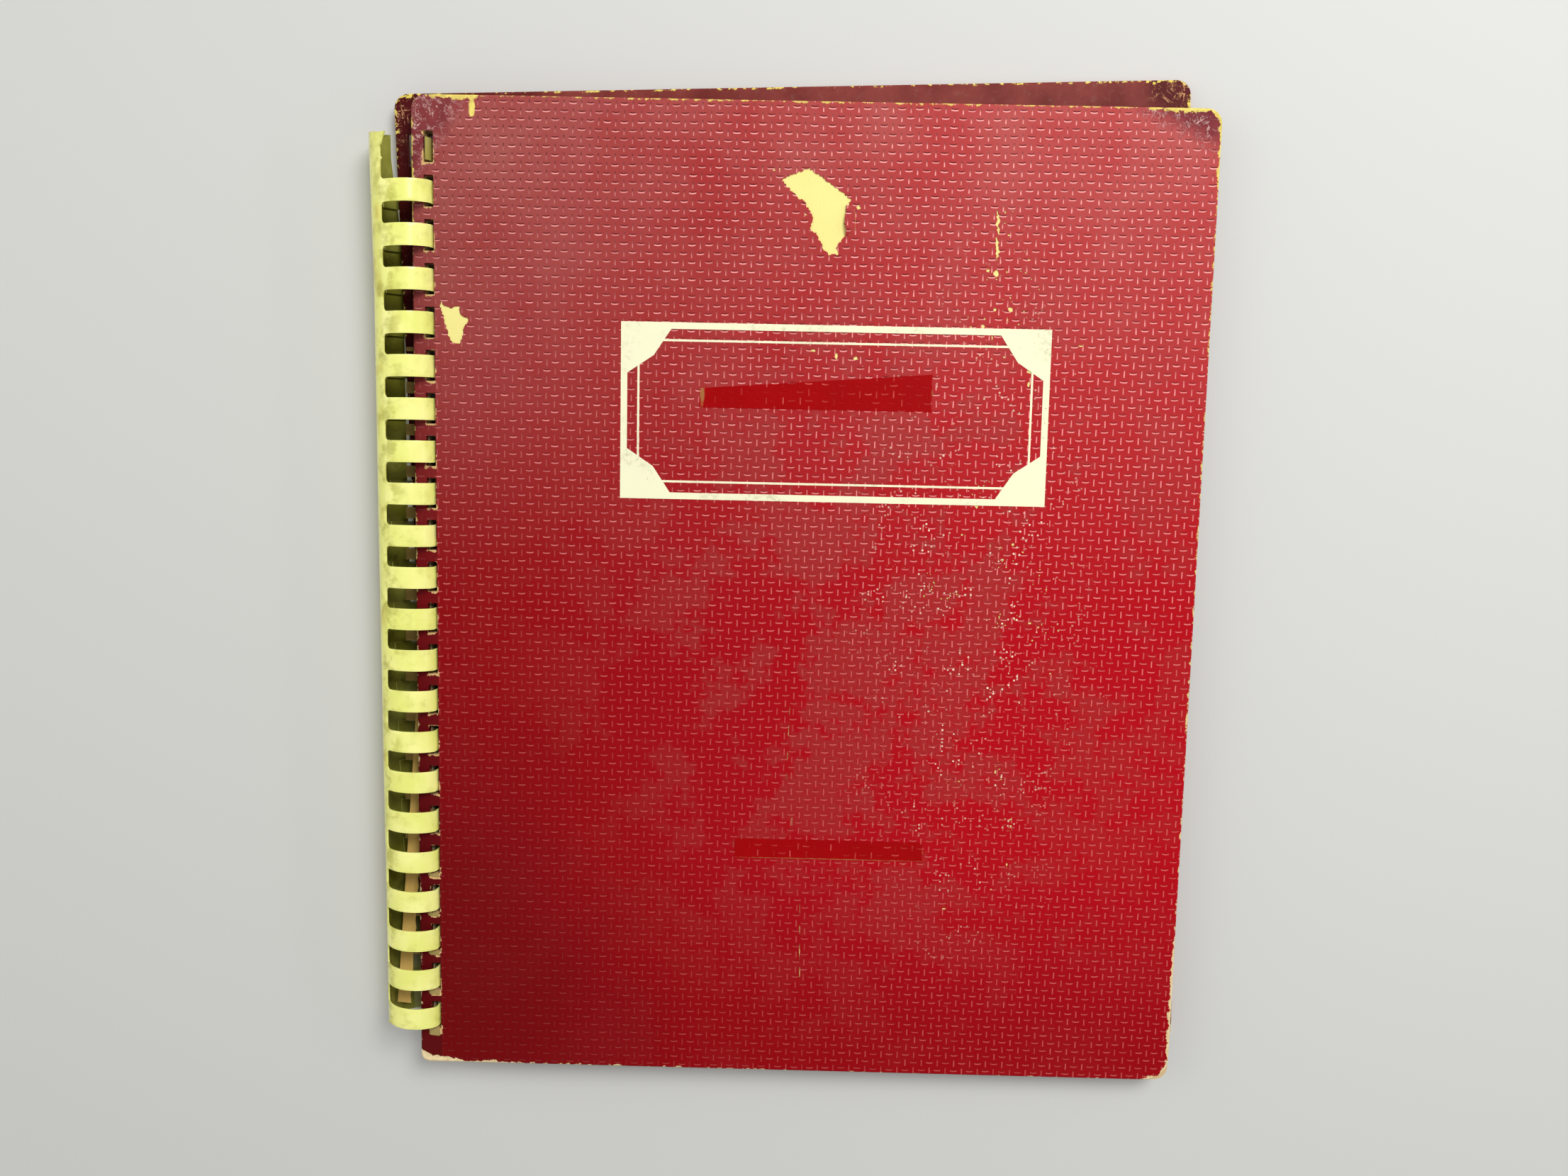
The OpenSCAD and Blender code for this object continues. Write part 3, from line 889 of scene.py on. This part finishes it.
# %% [markdown]
# Most wear lies in ragged patches: a distance from the patch's middle, with noise added to it.
# Places on a cover are found as if it lay square and centred, so that one finish fits both
# covers, and the distance to a cover's rim follows its rounded outline.

# %% Patches, rims and creases


def patch(add, spot, noise, middle, half, edge=0.3, ragged=0.6):
    """A ragged patch on the cover, 1 at its middle and 0 outside, in mm on the cover."""
    from_middle = add("VectorMath.SUBTRACT", spot, (*middle, 0))
    scaled = add("VectorMath.MULTIPLY", from_middle, (1 / half[0], 1 / half[1], 0))
    rough = add("Math.MULTIPLY_ADD", noise, ragged, add("VectorMath.LENGTH", scaled))
    start = 1 + ragged / 2
    return add("MapRange.SMOOTHSTEP", rough, start - edge, start + edge, 1.0, 0.0)


def on_cover(add, place, front):
    """The place as if its cover lay square and centred, in metres, and in mm from its corner."""
    if not front:
        c, s = math.cos(BACK_SKEW), math.sin(BACK_SKEW)
        x, y = AXIS_X + BACK_EDGE + c * COVER_W / 2, BACK_SLIP + s * COVER_W / 2
        place = add("Mapping.TEXTURE", place, (x * MM, y * MM, 0), (0, 0, BACK_SKEW))
    half = (COVER_W / 2, COVER_H / 2, 0)
    return place, add("VectorMath.MULTIPLY_ADD", place, (1000, 1000, 1000), half)


def rim_distance(add, place, taller, middle_z):
    """How far a place lies inside the cover's rounded outline, and more halfway down its edge."""
    centred = add("VectorMath.SUBTRACT", place, (0, taller / 2 * MM, 0))
    inset = [(side / 2 - CORNER_R) * MM for side in (COVER_W, COVER_H + taller)]
    beyond = add("VectorMath.SUBTRACT", add("VectorMath.ABSOLUTE", centred), (*inset, 10))
    beyond = add("VectorMath.LENGTH", add("VectorMath.MAXIMUM", beyond, (0, 0, 0)))
    rim = add("Math.MULTIPLY_ADD", beyond, -1000.0, CORNER_R)
    high = add("Math.SUBTRACT", add("SeparateXYZ", place).outputs[2], middle_z * MM)
    on_edge = add("MapRange", add("Math.ABSOLUTE", high), 0.0006, 0.0010, 1.6, 0.0)
    return add("Math.ADD", rim, on_edge)


def creases(add, place, *kinds):
    """Fine winding lines, as in crumpled cloth: where a warped noise passes its middle value.

    Each kind has its noise's scale and its lines' thinness.
    """
    lines = []
    for scale, thin in kinds:
        wavy = add("TexNoise", place, scale, 3.0, 0.6, 2.0, 1.2)
        off = add("Math.ABSOLUTE", add("Math.SUBTRACT", wavy, 0.5))
        lines.append(add("MapRange", off, 0.0, thin, 1.0, 0.0))
    return add("Math.MAXIMUM", *lines)


# %% [markdown]
# ### The red leatherette
#
# It is paper or cloth coated with coloured nitrocellulose, pressed while soft and glued round
# the board. Age shows in it as a pale bloom near the top, which also carries a painted reflection
# of the light, worn strokes with painted highlight and shade, and rims and hole edges rubbed down
# to the board; the strip by the spine takes painted shade. First comes the red itself.

# %% Red ground


def red_ground(add, place, spot, broad):
    """Deep red, darker by the spine and at the foot, clear towards the fore edge."""
    u, v, _ = add("SeparateXYZ", spot).outputs
    ground = add("Mix.RGBA", add("MapRange", u, 5.0, 190.0), "8A0A10", "B20A18")
    foot = add("MapRange.SMOOTHSTEP", v, 0.0, 90.0, 0.6, 0.0)
    ground = add("Mix.RGBA", foot, ground, "84040A")
    # duller, browner clouds, most of them on the upper and the outer parts
    drift = add("TexNoise", place, 52.0, 6.0, 0.62)
    cloud = add("MapRange.SMOOTHSTEP", drift, 0.47, 0.56)
    where = patch(add, spot, broad, (165, 165), (90, 105), 0.6, 0.8)
    cloud = add("Math.MULTIPLY", cloud, add("Math.MULTIPLY_ADD", where, 0.36, 0.05))
    speckle = add("MapRange", add("TexNoise", place, 1300.0, 3.0, 0.8), 0.35, 0.65, 0.45, 1.5)
    cloud = add("Math.MULTIPLY", cloud, speckle, use_clamp=True)
    ground = add("Mix.RGBA", cloud, ground, "963C38")
    # a pale bloom with a painted reflection of the light grows steeply towards the top, and at the
    # upper corners
    bloom_and_reflection = add("Math.POWER", add("MapRange", v, 150.0, 330.0), 1.6)
    bloom_and_reflection = add("Math.MULTIPLY", bloom_and_reflection, add("MapRange", broad, 0.35, 0.65, 0.16, 0.32))
    for middle, half, edge, more in (
        ((10, 280), (55, 75), 0.5, 0.07),
        ((262, 310), (60, 80), 0.7, 0.05),
    ):
        corner = patch(add, spot, broad, middle, half, edge)
        bloom_and_reflection = add("Math.MULTIPLY_ADD", corner, more, bloom_and_reflection)
    return add("Mix.RGBA", bloom_and_reflection, ground, "BE8880")


def flat_places(add, u, v, fine):
    """Where the pattern is pressed flat: the lower spine strip and the folded corners."""
    strip = add("MapRange", u, 7.3, 7.8, 1.0, 0.0)
    flat = add("Math.MULTIPLY", strip, add("MapRange", v, 150.0, 260.0, 1.0, 0.3))
    wobble = add("MapRange", fine, 0.3, 0.7, -2.0, 2.0)
    left = add("Math.ADD", u, add("Math.MULTIPLY", v, -0.62))
    left = add("MapRange", add("Math.ADD", left, wobble), -193.0, -185.5, 1.0, 0.0)
    right = add("Math.MULTIPLY_ADD", u, 0.47, v)
    right = add("MapRange", add("Math.ADD", right, wobble), 443.5, 450.5)
    corners = add("Math.MAXIMUM", left, right)
    pressed = add("Math.SUBTRACT", 1.0, add("Math.MAXIMUM", flat, corners))
    return strip, corners, pressed


# %% [markdown]
# The strokes' high parts are worn to pink and carry painted highlight on their lit walls, and
# painted shade lies on their upper walls, most of all on the upper and the outer parts. The front
# cover has
# more: painted shade on the strip by the spine, crumpled corners whose creases get painted
# highlights, and specks rubbed through.

# %% Wear of the leatherette


def stroke_wear_and_light(add, ground, u, v, pattern, pressed):
    """Pink where the strokes are rubbed and where painted highlight lies on their lit walls;
    painted shade beside them near the top.
    """
    _, bright, dark, level, luck = pattern
    # the pink is wear and painted highlight on the strokes' lit walls, most at the top and to the
    # right
    up = add("MapRange", v, 10.0, 240.0, 0.26, 0.80)
    wear_and_highlight = add("Math.ADD", up, add("MapRange", u, 20.0, 200.0, -0.08, 0.26))
    facing = add("Mix", level, add("MapRange", u, 40.0, 170.0, 0.35, 1.0), 1.0)
    for share in (facing, add("MapRange", luck, 0.0, 1.0, 0.6, 1.2), pressed):
        wear_and_highlight = add("Math.MULTIPLY", wear_and_highlight, share)
    wear_and_highlight = add("Math.MULTIPLY", bright, wear_and_highlight, use_clamp=True)
    # painted shade on the strokes' upper walls, strongest near the top
    groove_shade = add("MapRange", v, 170.0, 300.0, 0.10, 0.70)
    for share in (pressed, dark):
        groove_shade = add("Math.MULTIPLY", groove_shade, share)
    ground = add("Mix.RGBA", groove_shade, ground, "4A0508")
    pink = add("Mix.RGBA", add("MapRange", v, 130.0, 290.0), "DE6C6A", "FFA8A4")
    return add("Mix.RGBA", wear_and_highlight, ground, pink)


def front_wear_and_light(add, ground, place, spot, broad, fine, strip, corners):
    """The front cover's painted shade on the spine strip, its darker lower corner, crumpled corners
    whose creases get painted highlights, specks, and the crumples' relief.
    """
    v = add("SeparateXYZ", spot).outputs[1]
    # the strip by the spine gets painted shade low down, where it turns away from the light, and
    # the lower corner is darker too
    strip_shade = add("Math.MULTIPLY", add("MapRange", v, 120.0, 300.0, 0.85, 0.0), strip)
    ground = add("Mix.RGBA", strip_shade, ground, "5C1014")
    smudge = add("Math.MULTIPLY", patch(add, spot, broad, (4, 20), (60, 80), 0.8), 0.5)
    ground = add("Mix.RGBA", smudge, ground, "560A0C")
    # the folded corners are dull and crumpled, and their creases get painted highlights
    crumple = add("Math.MULTIPLY", creases(add, place, (120.0, 0.02), (300.0, 0.03)), corners)
    dull = add("Math.MULTIPLY", corners, add("MapRange", broad, 0.4, 0.6, 0.55, 0.95))
    ground = add("Mix.RGBA", dull, ground, "742C32")
    shine = add("Math.MULTIPLY", crumple, add("MapRange", fine, 0.44, 0.56, 0.0, 0.8))
    ground = add("Mix.RGBA", shine, ground, "E2B8B2")
    # specks rubbed through on the high spots of the outer half
    zone = patch(add, spot, broad, (190, 165), (34, 95), 0.6, 1.0)
    dots = add("TexVoronoi", place, 1000.0, feature="F1")
    speck = add("MapRange", dots.outputs["Distance"], 0.26, 0.42, 1.0, 0.0)
    rare = add("MapRange", add("SeparateXYZ", dots.outputs["Color"]), 0.82, 0.85)
    speck = add("Math.MULTIPLY", speck, rare)
    clump = add("MapRange", add("TexNoise", place, 90.0, 2.0), 0.50, 0.62, 0.05, 1.0)
    speck = add("Math.MULTIPLY", speck, add("Math.MULTIPLY", clump, zone))
    return add("Mix.RGBA", speck, ground, "F8E8CC"), crumple


# %% [markdown]
# Bare board shows as a broken line along the rims, wider in some patches, and as thin torn lips
# round the punched holes: wider below a hole, and with a blob at the first hole's upper left.

# %% Bare rims and torn lips
RIM_PATCHES = [
    ((0, 130), (2.5, 200), 0.25), ((266.7, 200), (2.5, 150), 0.35),
    ((150, 333.4), (120, 2.5), 0.35),
]
FRONT_RIM_PATCHES = [
    ((15, 333.4), (8, 4), 1.4), ((258, 333.4), (12, 3), 1.2), ((266, 322), (3, 11), 0.7),
    ((266.7, 14), (3, 34), 1.0), ((262, 3), (5, 4), 1.6), ((3, 0), (9, 4), 2.4),
    ((18, 0), (16, 2.5), 0.9), ((60, 0), (50, 2), 0.3), ((0, 306), (1.5, 16), 0.6),
]


def bare_rim(add, place, spot, broad, fine, front):
    """A thin line along the rim, deeper where the noise and the patches say so."""
    upper, lower = (FRONT_TALLER, FRONT_TOP - SKIN_T / 2), (BACK_TALLER, SKIN_T / 2)
    rim = rim_distance(add, place, *(upper if front else lower))
    depth = add("MapRange", fine, 0.36, 0.64, -0.75, 0.6)
    for middle, half, more in RIM_PATCHES + (FRONT_RIM_PATCHES if front else []):
        where = patch(add, spot, broad, middle, half, 0.5, 0.3)
        depth = add("Math.MULTIPLY_ADD", where, more, depth)
    return add("MapRange", add("Math.SUBTRACT", rim, depth), -0.12, 0.12, 1.0, 0.0)


def torn_lips(add, u, v, fine):
    """The torn lips round the holes of the front cover."""
    first = hole_y(0) + COVER_H / 2 - HOLE_PITCH / 2
    along = add("Math.FLOORED_MODULO", add("Math.SUBTRACT", v, first), HOLE_PITCH)
    along = add("Math.SUBTRACT", along, HOLE_PITCH / 2)
    aside = add("Math.SUBTRACT", u, HOLE_MARGIN + HOLE_W / 2)
    row = add("Math.SUBTRACT", add("Math.ABSOLUTE", along), HOLE_H / 2)
    column = add("Math.SUBTRACT", add("Math.ABSOLUTE", aside), HOLE_W / 2)
    # below a hole the lip is wider, more so at the lowest five and most at the last ones
    torn = add("MapRange", v, 71.0, 74.0, 1.35, 0.0)
    torn = add("Math.ADD", torn, add("MapRange", v, 8.0, 36.0, 1.35, 0.0))
    torn = add("Math.ADD", torn, 0.35)
    torn = add("Math.MULTIPLY", torn, add("MapRange", along, -4.4, -4.9))
    lip = add("Math.MAXIMUM", add("Math.SUBTRACT", row, torn), column)
    blob = add("VectorMath.DISTANCE", add("CombineXYZ", aside, along), (-1.9, 4.6, 0))
    blob = add("MapRange", blob, 0.3, 1.3, 0.6, 0.0)
    blob = add("Math.MULTIPLY", blob, add("MapRange", v, 300.0, 310.0))
    lip = add("Math.SUBTRACT", lip, blob)
    lip = add("Math.ADD", lip, add("MapRange", along, -2.0, 4.0, 0.0, 0.45))
    lip = add("Math.SUBTRACT", lip, add("MapRange", fine, 0.36, 0.64, -0.55, 0.55))
    lip = add("MapRange", lip, -0.08, 0.08, 1.0, 0.0)
    # no lips below the last hole or above the first
    for low_v, high_v, start, end in ((9.0, 9.3, 0.0, 1.0), (323.4, 324.2, 1.0, 0.0)):
        lip = add("Math.MULTIPLY", lip, add("MapRange", v, low_v, high_v, start, end))
    return lip


# %% [markdown]
# The leatherette puts these together. Its relief is in millimetres: the strokes are pressed
# 0.1 mm deep, and the grain is hundredths.

# %% Red leatherette


def leatherette(name, front):
    material, add, place = new_finish(name)
    place, spot = on_cover(add, place, front)
    u, v, _ = add("SeparateXYZ", spot).outputs
    broad = add("TexNoise", place, 34.0, 4.0, 0.6)
    fine = add("TexNoise", place, 420.0, 4.0, 0.65)
    pattern = strokes(add, place)
    strip, corners, pressed = flat_places(add, u, v, fine)
    ground = red_ground(add, place, spot, broad)
    ground = stroke_wear_and_light(add, ground, u, v, pattern, pressed)
    bare = bare_rim(add, place, spot, broad, fine, front)
    board = add("Mix.RGBA", add("MapRange", v, 60.0, 300.0), "F2DCAC", "F0DC74")
    relief = add("Math.MULTIPLY", add("Math.MULTIPLY", pattern[0], pressed), -0.10)
    if front:
        ground, crumple = front_wear_and_light(add, ground, place, spot, broad, fine, strip, corners)
        drip = patch(add, spot, fine, (20.3, 330.3), (1.0, 3.2), 0.15, 0.8)
        lip = torn_lips(add, u, v, fine)
        bare = add("Math.MAXIMUM", add("Math.MAXIMUM", bare, drip), lip)
        board = add("Mix.RGBA", lip, board, "E6BE84")
    dirt = add("MapRange", fine, 0.40, 0.7, 0.0, 0.5)
    board = add("Mix.RGBA", dirt, board, "B8904C")
    grain = add("TexNoise", place, 2600.0, 2.0)
    for height, share in ((grain, 0.012), (fine, 0.03), (bare, -0.08)):
        relief = add("Math.MULTIPLY_ADD", height, share, relief)
    if front:
        relief = add("Math.MULTIPLY_ADD", crumple, 0.08, relief)
    gloss = add("Mix", bare, add("MapRange", fine, 0.3, 0.7, 0.40, 0.55), 0.9)
    end_finish(add, add("Mix.RGBA", bare, ground, board), gloss, relief, 0.05)
    print(name, len(material.node_tree.nodes), "nodes")
    return material


front_red = leatherette("embossed_leatherette_front", True)
back_red = leatherette("embossed_leatherette_back", False)

# %% [markdown]
# ### Lining paper, board and album paper
#
# The inner faces are covered with smooth coated paper in brownish maroon. Grey board is made
# of pulped waste paper, so it has fibres and flecks, and old album paper has browned edges.

# %% Paper and board


def paper(name, base, other, fleck, roughness=0.85, scratches=0.0, edge=None):
    material, add, place = new_finish(name)
    cloud = add("TexNoise", place, 40.0, 4.0)
    fibre = add("Mapping", place, named={"Scale": (1, 5, 1)})
    fibre = add("TexNoise", fibre, 1500.0, 2.0, 0.7)
    colour = add("Mix.RGBA", cloud, base, other)
    colour = add("Mix.RGBA", add("MapRange", fibre, 0.52, 0.72, 0.0, 0.5), colour, fleck)
    if edge:
        x, y, _ = add("SeparateXYZ", add("VectorMath.ABSOLUTE", place)).outputs
        sides = add("MapRange", x, 0.112, 0.126), add("MapRange", y, 0.148, 0.163)
        rim = add("Math.MULTIPLY", add("Math.MAXIMUM", *sides), cloud)
        colour = add("Mix.RGBA", rim, colour, edge)
    if scratches:
        turned = add("Mapping", place, named={"Rotation": (0, 0, 0.6), "Scale": (1, 12, 1)})
        lines = add("MapRange", add("TexNoise", turned, 130.0, 1.0), 0.66, 0.70, 0.0, scratches)
        colour = add("Mix.RGBA", lines, colour, "C79A8C")
    end_finish(add, colour, roughness, add("Math.MULTIPLY", fibre, 0.02))
    return material


lining = paper("coated_lining_paper", "6E2E28", "7A3A33", "52201C", roughness=0.45, scratches=0.35)
board = paper("grey_board", "DCC090", "C9A878", "9A7A50")
bare_board = paper("yellowed_pulp_board", "FBF3A0", "EFE286", "CDBB62", roughness=0.95)
crushed_board = paper("crushed_pulp_board", "B8A468", "94803E", "6A5420", roughness=0.95)
album_paper = paper("album_paper", "C8BC94", "B4A678", "93824E", edge="8A6E38")
tan_paper = paper("torn_tan_paper", "FFD880", "F6C460", "B08A40")
cream_paper = paper("torn_cream_paper", "C8A85C", "A88A44", "6E5824")

# %% [markdown]
# The turned-in cloth on the back cover's inner face shows above and beside the front cover. It
# is smooth and dark, with painted shade beside the comb, its edge is frayed to the golden board,
# and its corners are cracked.

# %% Turned-in cloth


def turned_in(name):
    material, add, place = new_finish(name)
    place, spot = on_cover(add, place, False)
    broad = add("TexNoise", place, 60.0, 4.0, 0.6)
    fine = add("TexNoise", place, 420.0, 4.0, 0.65)
    # the corners are cracked: dark, with cream lines across one another
    cracked = 0.0
    for middle, half in (((2, 334), (9, 13)), ((264, 334), (12, 10))):
        cracked = add("Math.MAXIMUM", cracked, patch(add, spot, broad, middle, half, 0.25))
    cracks = creases(add, place, (90.0, 0.012), (210.0, 0.014))
    for share in (add("MapRange", fine, 0.44, 0.50), cracked):
        cracks = add("Math.MULTIPLY", cracks, share)
    # a broken golden edge, widest round the corners
    depth = add("MapRange", fine, 0.40, 0.60, -1.4, 0.8)
    depth = add("Math.MULTIPLY_ADD", cracked, 0.75, depth)
    rim = add("Math.SUBTRACT", rim_distance(add, place, BACK_TALLER, SKIN_T / 2), depth)
    # painted shade beside the comb, where the front cover and the comb shade it; dull and lighter
    # along the top
    lit = add("MapRange", add("SeparateXYZ", spot), 10.0, 60.0)
    colour = add("Mix.RGBA", lit, "4A1010", "883C36")
    for share, over in (
        (add("MapRange", broad, 0.4, 0.65, 0.0, 0.6), "5A1816"),
        (add("MapRange", fine, 0.55, 0.75, 0.0, 0.35), "8E6A62"),
        (add("Math.MULTIPLY", cracked, 0.8), "4E0E12"),
        (cracks, "E2A878"),
        (add("MapRange", rim, -0.15, 0.15, 1.0, 0.0), "E8D264"),
    ):
        colour = add("Mix.RGBA", share, colour, over)
    relief = add("Math.MULTIPLY_ADD", fine, 0.05, add("Math.MULTIPLY", cracks, 0.08))
    end_finish(add, colour, 0.5, relief, 0.08)
    return material


back_inner = turned_in("turned_in_leatherette")

# %% [markdown]
# ### Cream ink
#
# Thick screen-printed ink fills the strokes of the leatherette and dries to a smooth, even,
# slightly glossy film. Handling has left faint grey smudges on it.

# %% Cream ink


def thick_ink(name):
    material, add, place = new_finish(name)
    cloud = add("TexNoise", place, 70.0, 3.0)
    fine = add("TexNoise", place, 600.0, 4.0, 0.7)
    colour = add("Mix.RGBA", cloud, "F6F6CC", "F2EECC")
    smudge = add("MapRange", cloud, 0.52, 0.66)
    smudge = add("Math.MULTIPLY", smudge, add("MapRange", fine, 0.48, 0.62, 0.0, 0.55))
    chipped = add("MapRange", fine, 0.70, 0.73, 0.0, 0.9)
    for share, over in ((smudge, "B9B58C"), (chipped, "A83A40")):
        colour = add("Mix.RGBA", share, colour, over)
    end_finish(add, colour, 0.5, add("Math.MULTIPLY", fine, 0.02), 0.2)
    return material


ink = thick_ink("cream_screen_ink")

# %% [markdown]
# ### The yellowed plastic
#
# The comb is polyvinyl chloride sheet that has turned from white to pale yellow. It is smooth
# and fairly glossy, with olive grime in its hollows and ochre smears on the spine band. Its
# inner face is dark olive, partly with dirt and partly with painted shade, and so is the broken
# piece that lies deep in its hole.

# %% Yellowed plastic


def old_plastic(name, mapped, light, middle, dark):
    material, add, place = new_finish(name)
    if mapped:
        place = add("UVMap", uv_map="flat_sheet").outputs[0]
    cloud = add("TexNoise", place, 150.0, 4.0, 0.6)
    smear = add("TexNoise", place, 60.0, 3.0)
    grime = add("TexNoise", place, 380.0, 4.0, 0.7)
    colour = add("Mix.RGBA", add("MapRange", smear, 0.36, 0.60), light, middle)
    olive = add("MapRange", cloud, 0.50, 0.66, 0.0, 0.5)
    olive = add("Math.MULTIPLY", olive, add("MapRange", grime, 0.42, 0.6, 0.3, 1.3))
    if mapped:
        # the band is yellow-green with ochre smears, and each finger is stained at its root
        along = add("SeparateXYZ", place).outputs[0]
        band = add("MapRange", along, -0.0015, 0.0005, 1.0, 0.0)
        ochre = add("MapRange", smear, 0.52, 0.64, 0.0, 0.6)
        root = add("Math.ABSOLUTE", add("Math.SUBTRACT", along, 0.0015))
        root = add("MapRange", root, 0.002, 0.006, 1.0, 0.0)
        stain = add("MapRange", cloud, 0.46, 0.60, 0.0, 0.6)
        for share, where, over in (
            (band, 0.5, "F0F07C"), (ochre, band, "CBB03C"), (stain, root, "B8B444"),
        ):
            colour = add("Mix.RGBA", add("Math.MULTIPLY", share, where), colour, over)
        olive = add("Math.MULTIPLY", olive, add("MapRange", band, 0.0, 1.0, 0.5, 0.85))
    colour = add("Mix.RGBA", olive, colour, dark)
    gloss = add("MapRange", grime, 0.35, 0.7, 0.14, 0.30)
    end_finish(add, colour, gloss, add("Math.MULTIPLY", cloud, 0.03), 0.4)
    return material


comb_finish = old_plastic("yellowed_pvc_sheet", True, "FCFA9A", "EEF080", "A8A444")
# grime with painted shade: the inner face and the broken piece take darker copies of the plastic
inner_grime_and_shade = old_plastic("grimy_shaded_pvc_inner_face", False, "A0A04A", "7E7C28", "454410")
piece_grime_and_shade = old_plastic("grimy_shaded_pvc_piece", False, "B4AA62", "A09648", "6E6A22")

# %% [markdown]
# ### Old tape
#
# The two strips are glossy film tape, pressed on so hard that the strokes below still show.
# The glue has browned where an end has lifted.

# %% Old tape


def old_tape():
    material, add, place = new_finish("red_film_tape")
    spot = on_cover(add, place, True)[1]
    line, bright, _, _, luck = strokes(add, place)
    cloud = add("TexNoise", place, 90.0, 3.0)
    fine = add("TexNoise", place, 500.0, 4.0, 0.7)
    colour = add("Mix.RGBA", cloud, "960205", "A60409")
    # the strokes show through pink: the worn leatherette below, and painted highlight on their lit
    # walls
    show = add("MapRange", luck, 0.35, 1.0, 0.0, 0.7)
    for share in (add("MapRange", cloud, 0.42, 0.55, 0.1, 1.0), bright):
        show = add("Math.MULTIPLY", show, share)
    colour = add("Mix.RGBA", show, colour, "E46A64")
    for middle, half in (
        ((176.5, 240), (1.6, 7)), ((97.5, 239), (0.7, 4)),
        ((146, 77.9), (40, 0.5)), ((177.5, 82), (0.7, 4)),
    ):
        glue = patch(add, spot, fine, middle, half, 0.4, 1.4)
        colour = add("Mix.RGBA", add("Math.MULTIPLY", glue, 0.75), colour, "A87848")
    end_finish(add, colour, 0.35, add("Math.MULTIPLY", line, -0.04), 0.06)
    return material


tape_finish = old_tape()

# %% [markdown]
# ## Putting the finishes on
#
# A face takes its material by its place and by the way it faces: bare board in the tears, lining
# on the inner faces, grime with painted shade inside the comb. The frame's own pieces take theirs
# by their names.

# %% Put the finishes on


def paint(piece, which, *materials):
    """Puts the materials on a piece, and for each face the one whose number which gives."""
    finish_with(piece, *materials)
    for face in piece.data.polygons:
        face.material_index = int(which(face.center / MM, face.normal))


def on_front(middle, normal):
    """0 leatherette, 1 lining, 2 the bare board of the tears, and 3 crushed board by the spine."""
    if normal.z < -0.9:
        return 1
    if normal.z > 0.9 and middle.z < FRONT_TOP - 0.2:
        return 3 if middle.x < crease_x and middle.y < hole_y(16) else 2
    return 0


def inside_comb(middle, normal):
    out = Vector((middle.x - AXIS_X, 0, middle.z - AXIS_Z)).normalized()
    return normal.dot(out) < -0.5


paint(front_skin, on_front, front_red, lining, bare_board, crushed_board)
paint(back_skin, lambda middle, normal: normal.z > 0.3, back_red, back_inner)
paint(tongue, lambda middle, normal: abs(normal.z) < 0.5, front_red, bare_board)
finish_with(print_piece, ink)
paint(comb, inside_comb, comb_finish, inner_grime_and_shade)
by_name = {
    "leaf": album_paper, "lining": lining, "board": board, "tape": tape_finish,
    "torn_margin_loose": tan_paper, "torn_margin_threaded": cream_paper,
    "broken_finger": piece_grime_and_shade,
}
for name, piece in frame["nodes"].items():
    for part, material in by_name.items():
        if part in name:
            finish_with(piece, material)
print(len(bpy.data.materials), "materials")

# %% [markdown]
# ## Floor, light and end
#
# The album rests on the comb's rings and on the back cover's fore edge, so the table leans a
# little under it. One large soft light stands to the upper right, as a window would, and weaker
# ones draw the edges.

# %% Floor, light and end
bpy.ops.mesh.primitive_plane_add(size=4, location=(0, 0, 0))
floor = keep_as("table_top")
GAP, RINGS_LOW, FORE_EDGE = 0.05, 3.42, 136.4
slope = (RINGS_LOW + GAP) / (FORE_EDGE - AXIS_X)


def lean(places):
    places[:, 2] = slope * (places[:, 0] - FORE_EDGE) - GAP
    return places


move_points(floor, lean)
matt, add, _ = new_finish("matt_table_paint")
end_finish(add, "D2D2CE", 0.8)
finish_with(floor, matt)
world = bpy.data.worlds.new("soft_room")
bpy.context.scene.world = world
world.use_nodes = True
sky = world.node_tree.nodes["Background"].inputs
sky["Color"].default_value = (1, 1, 1, 1)
sky["Strength"].default_value = 0.42


def soft_light(name, place, size, watts):
    """A rectangular soft light at a place in metres, aimed at the middle of the album."""
    bpy.ops.object.light_add(type="AREA", location=place)
    light = bpy.context.active_object
    light.name = name
    light.data.shape = "RECTANGLE"
    light.data.size, light.data.size_y = size
    light.data.energy = watts
    light.rotation_euler = (-light.location).to_track_quat("-Z", "Y").to_euler()
    print(name, watts, "W")


soft_light("key_light", (0.42, 0.62, 0.95), (0.5, 0.5), 9.8)
soft_light("edge_light", (1.1, 0.15, 0.55), (1.4, 0.08), 1.2)
soft_light("fill_light", (-1.0, 0.25, 0.5), (0.8, 0.8), 2.2)
soft_light("line_light", (0.27, 0, 1.0), (2.4, 0.03), 0.8)
bpy.context.scene.view_settings.view_transform = "Standard"
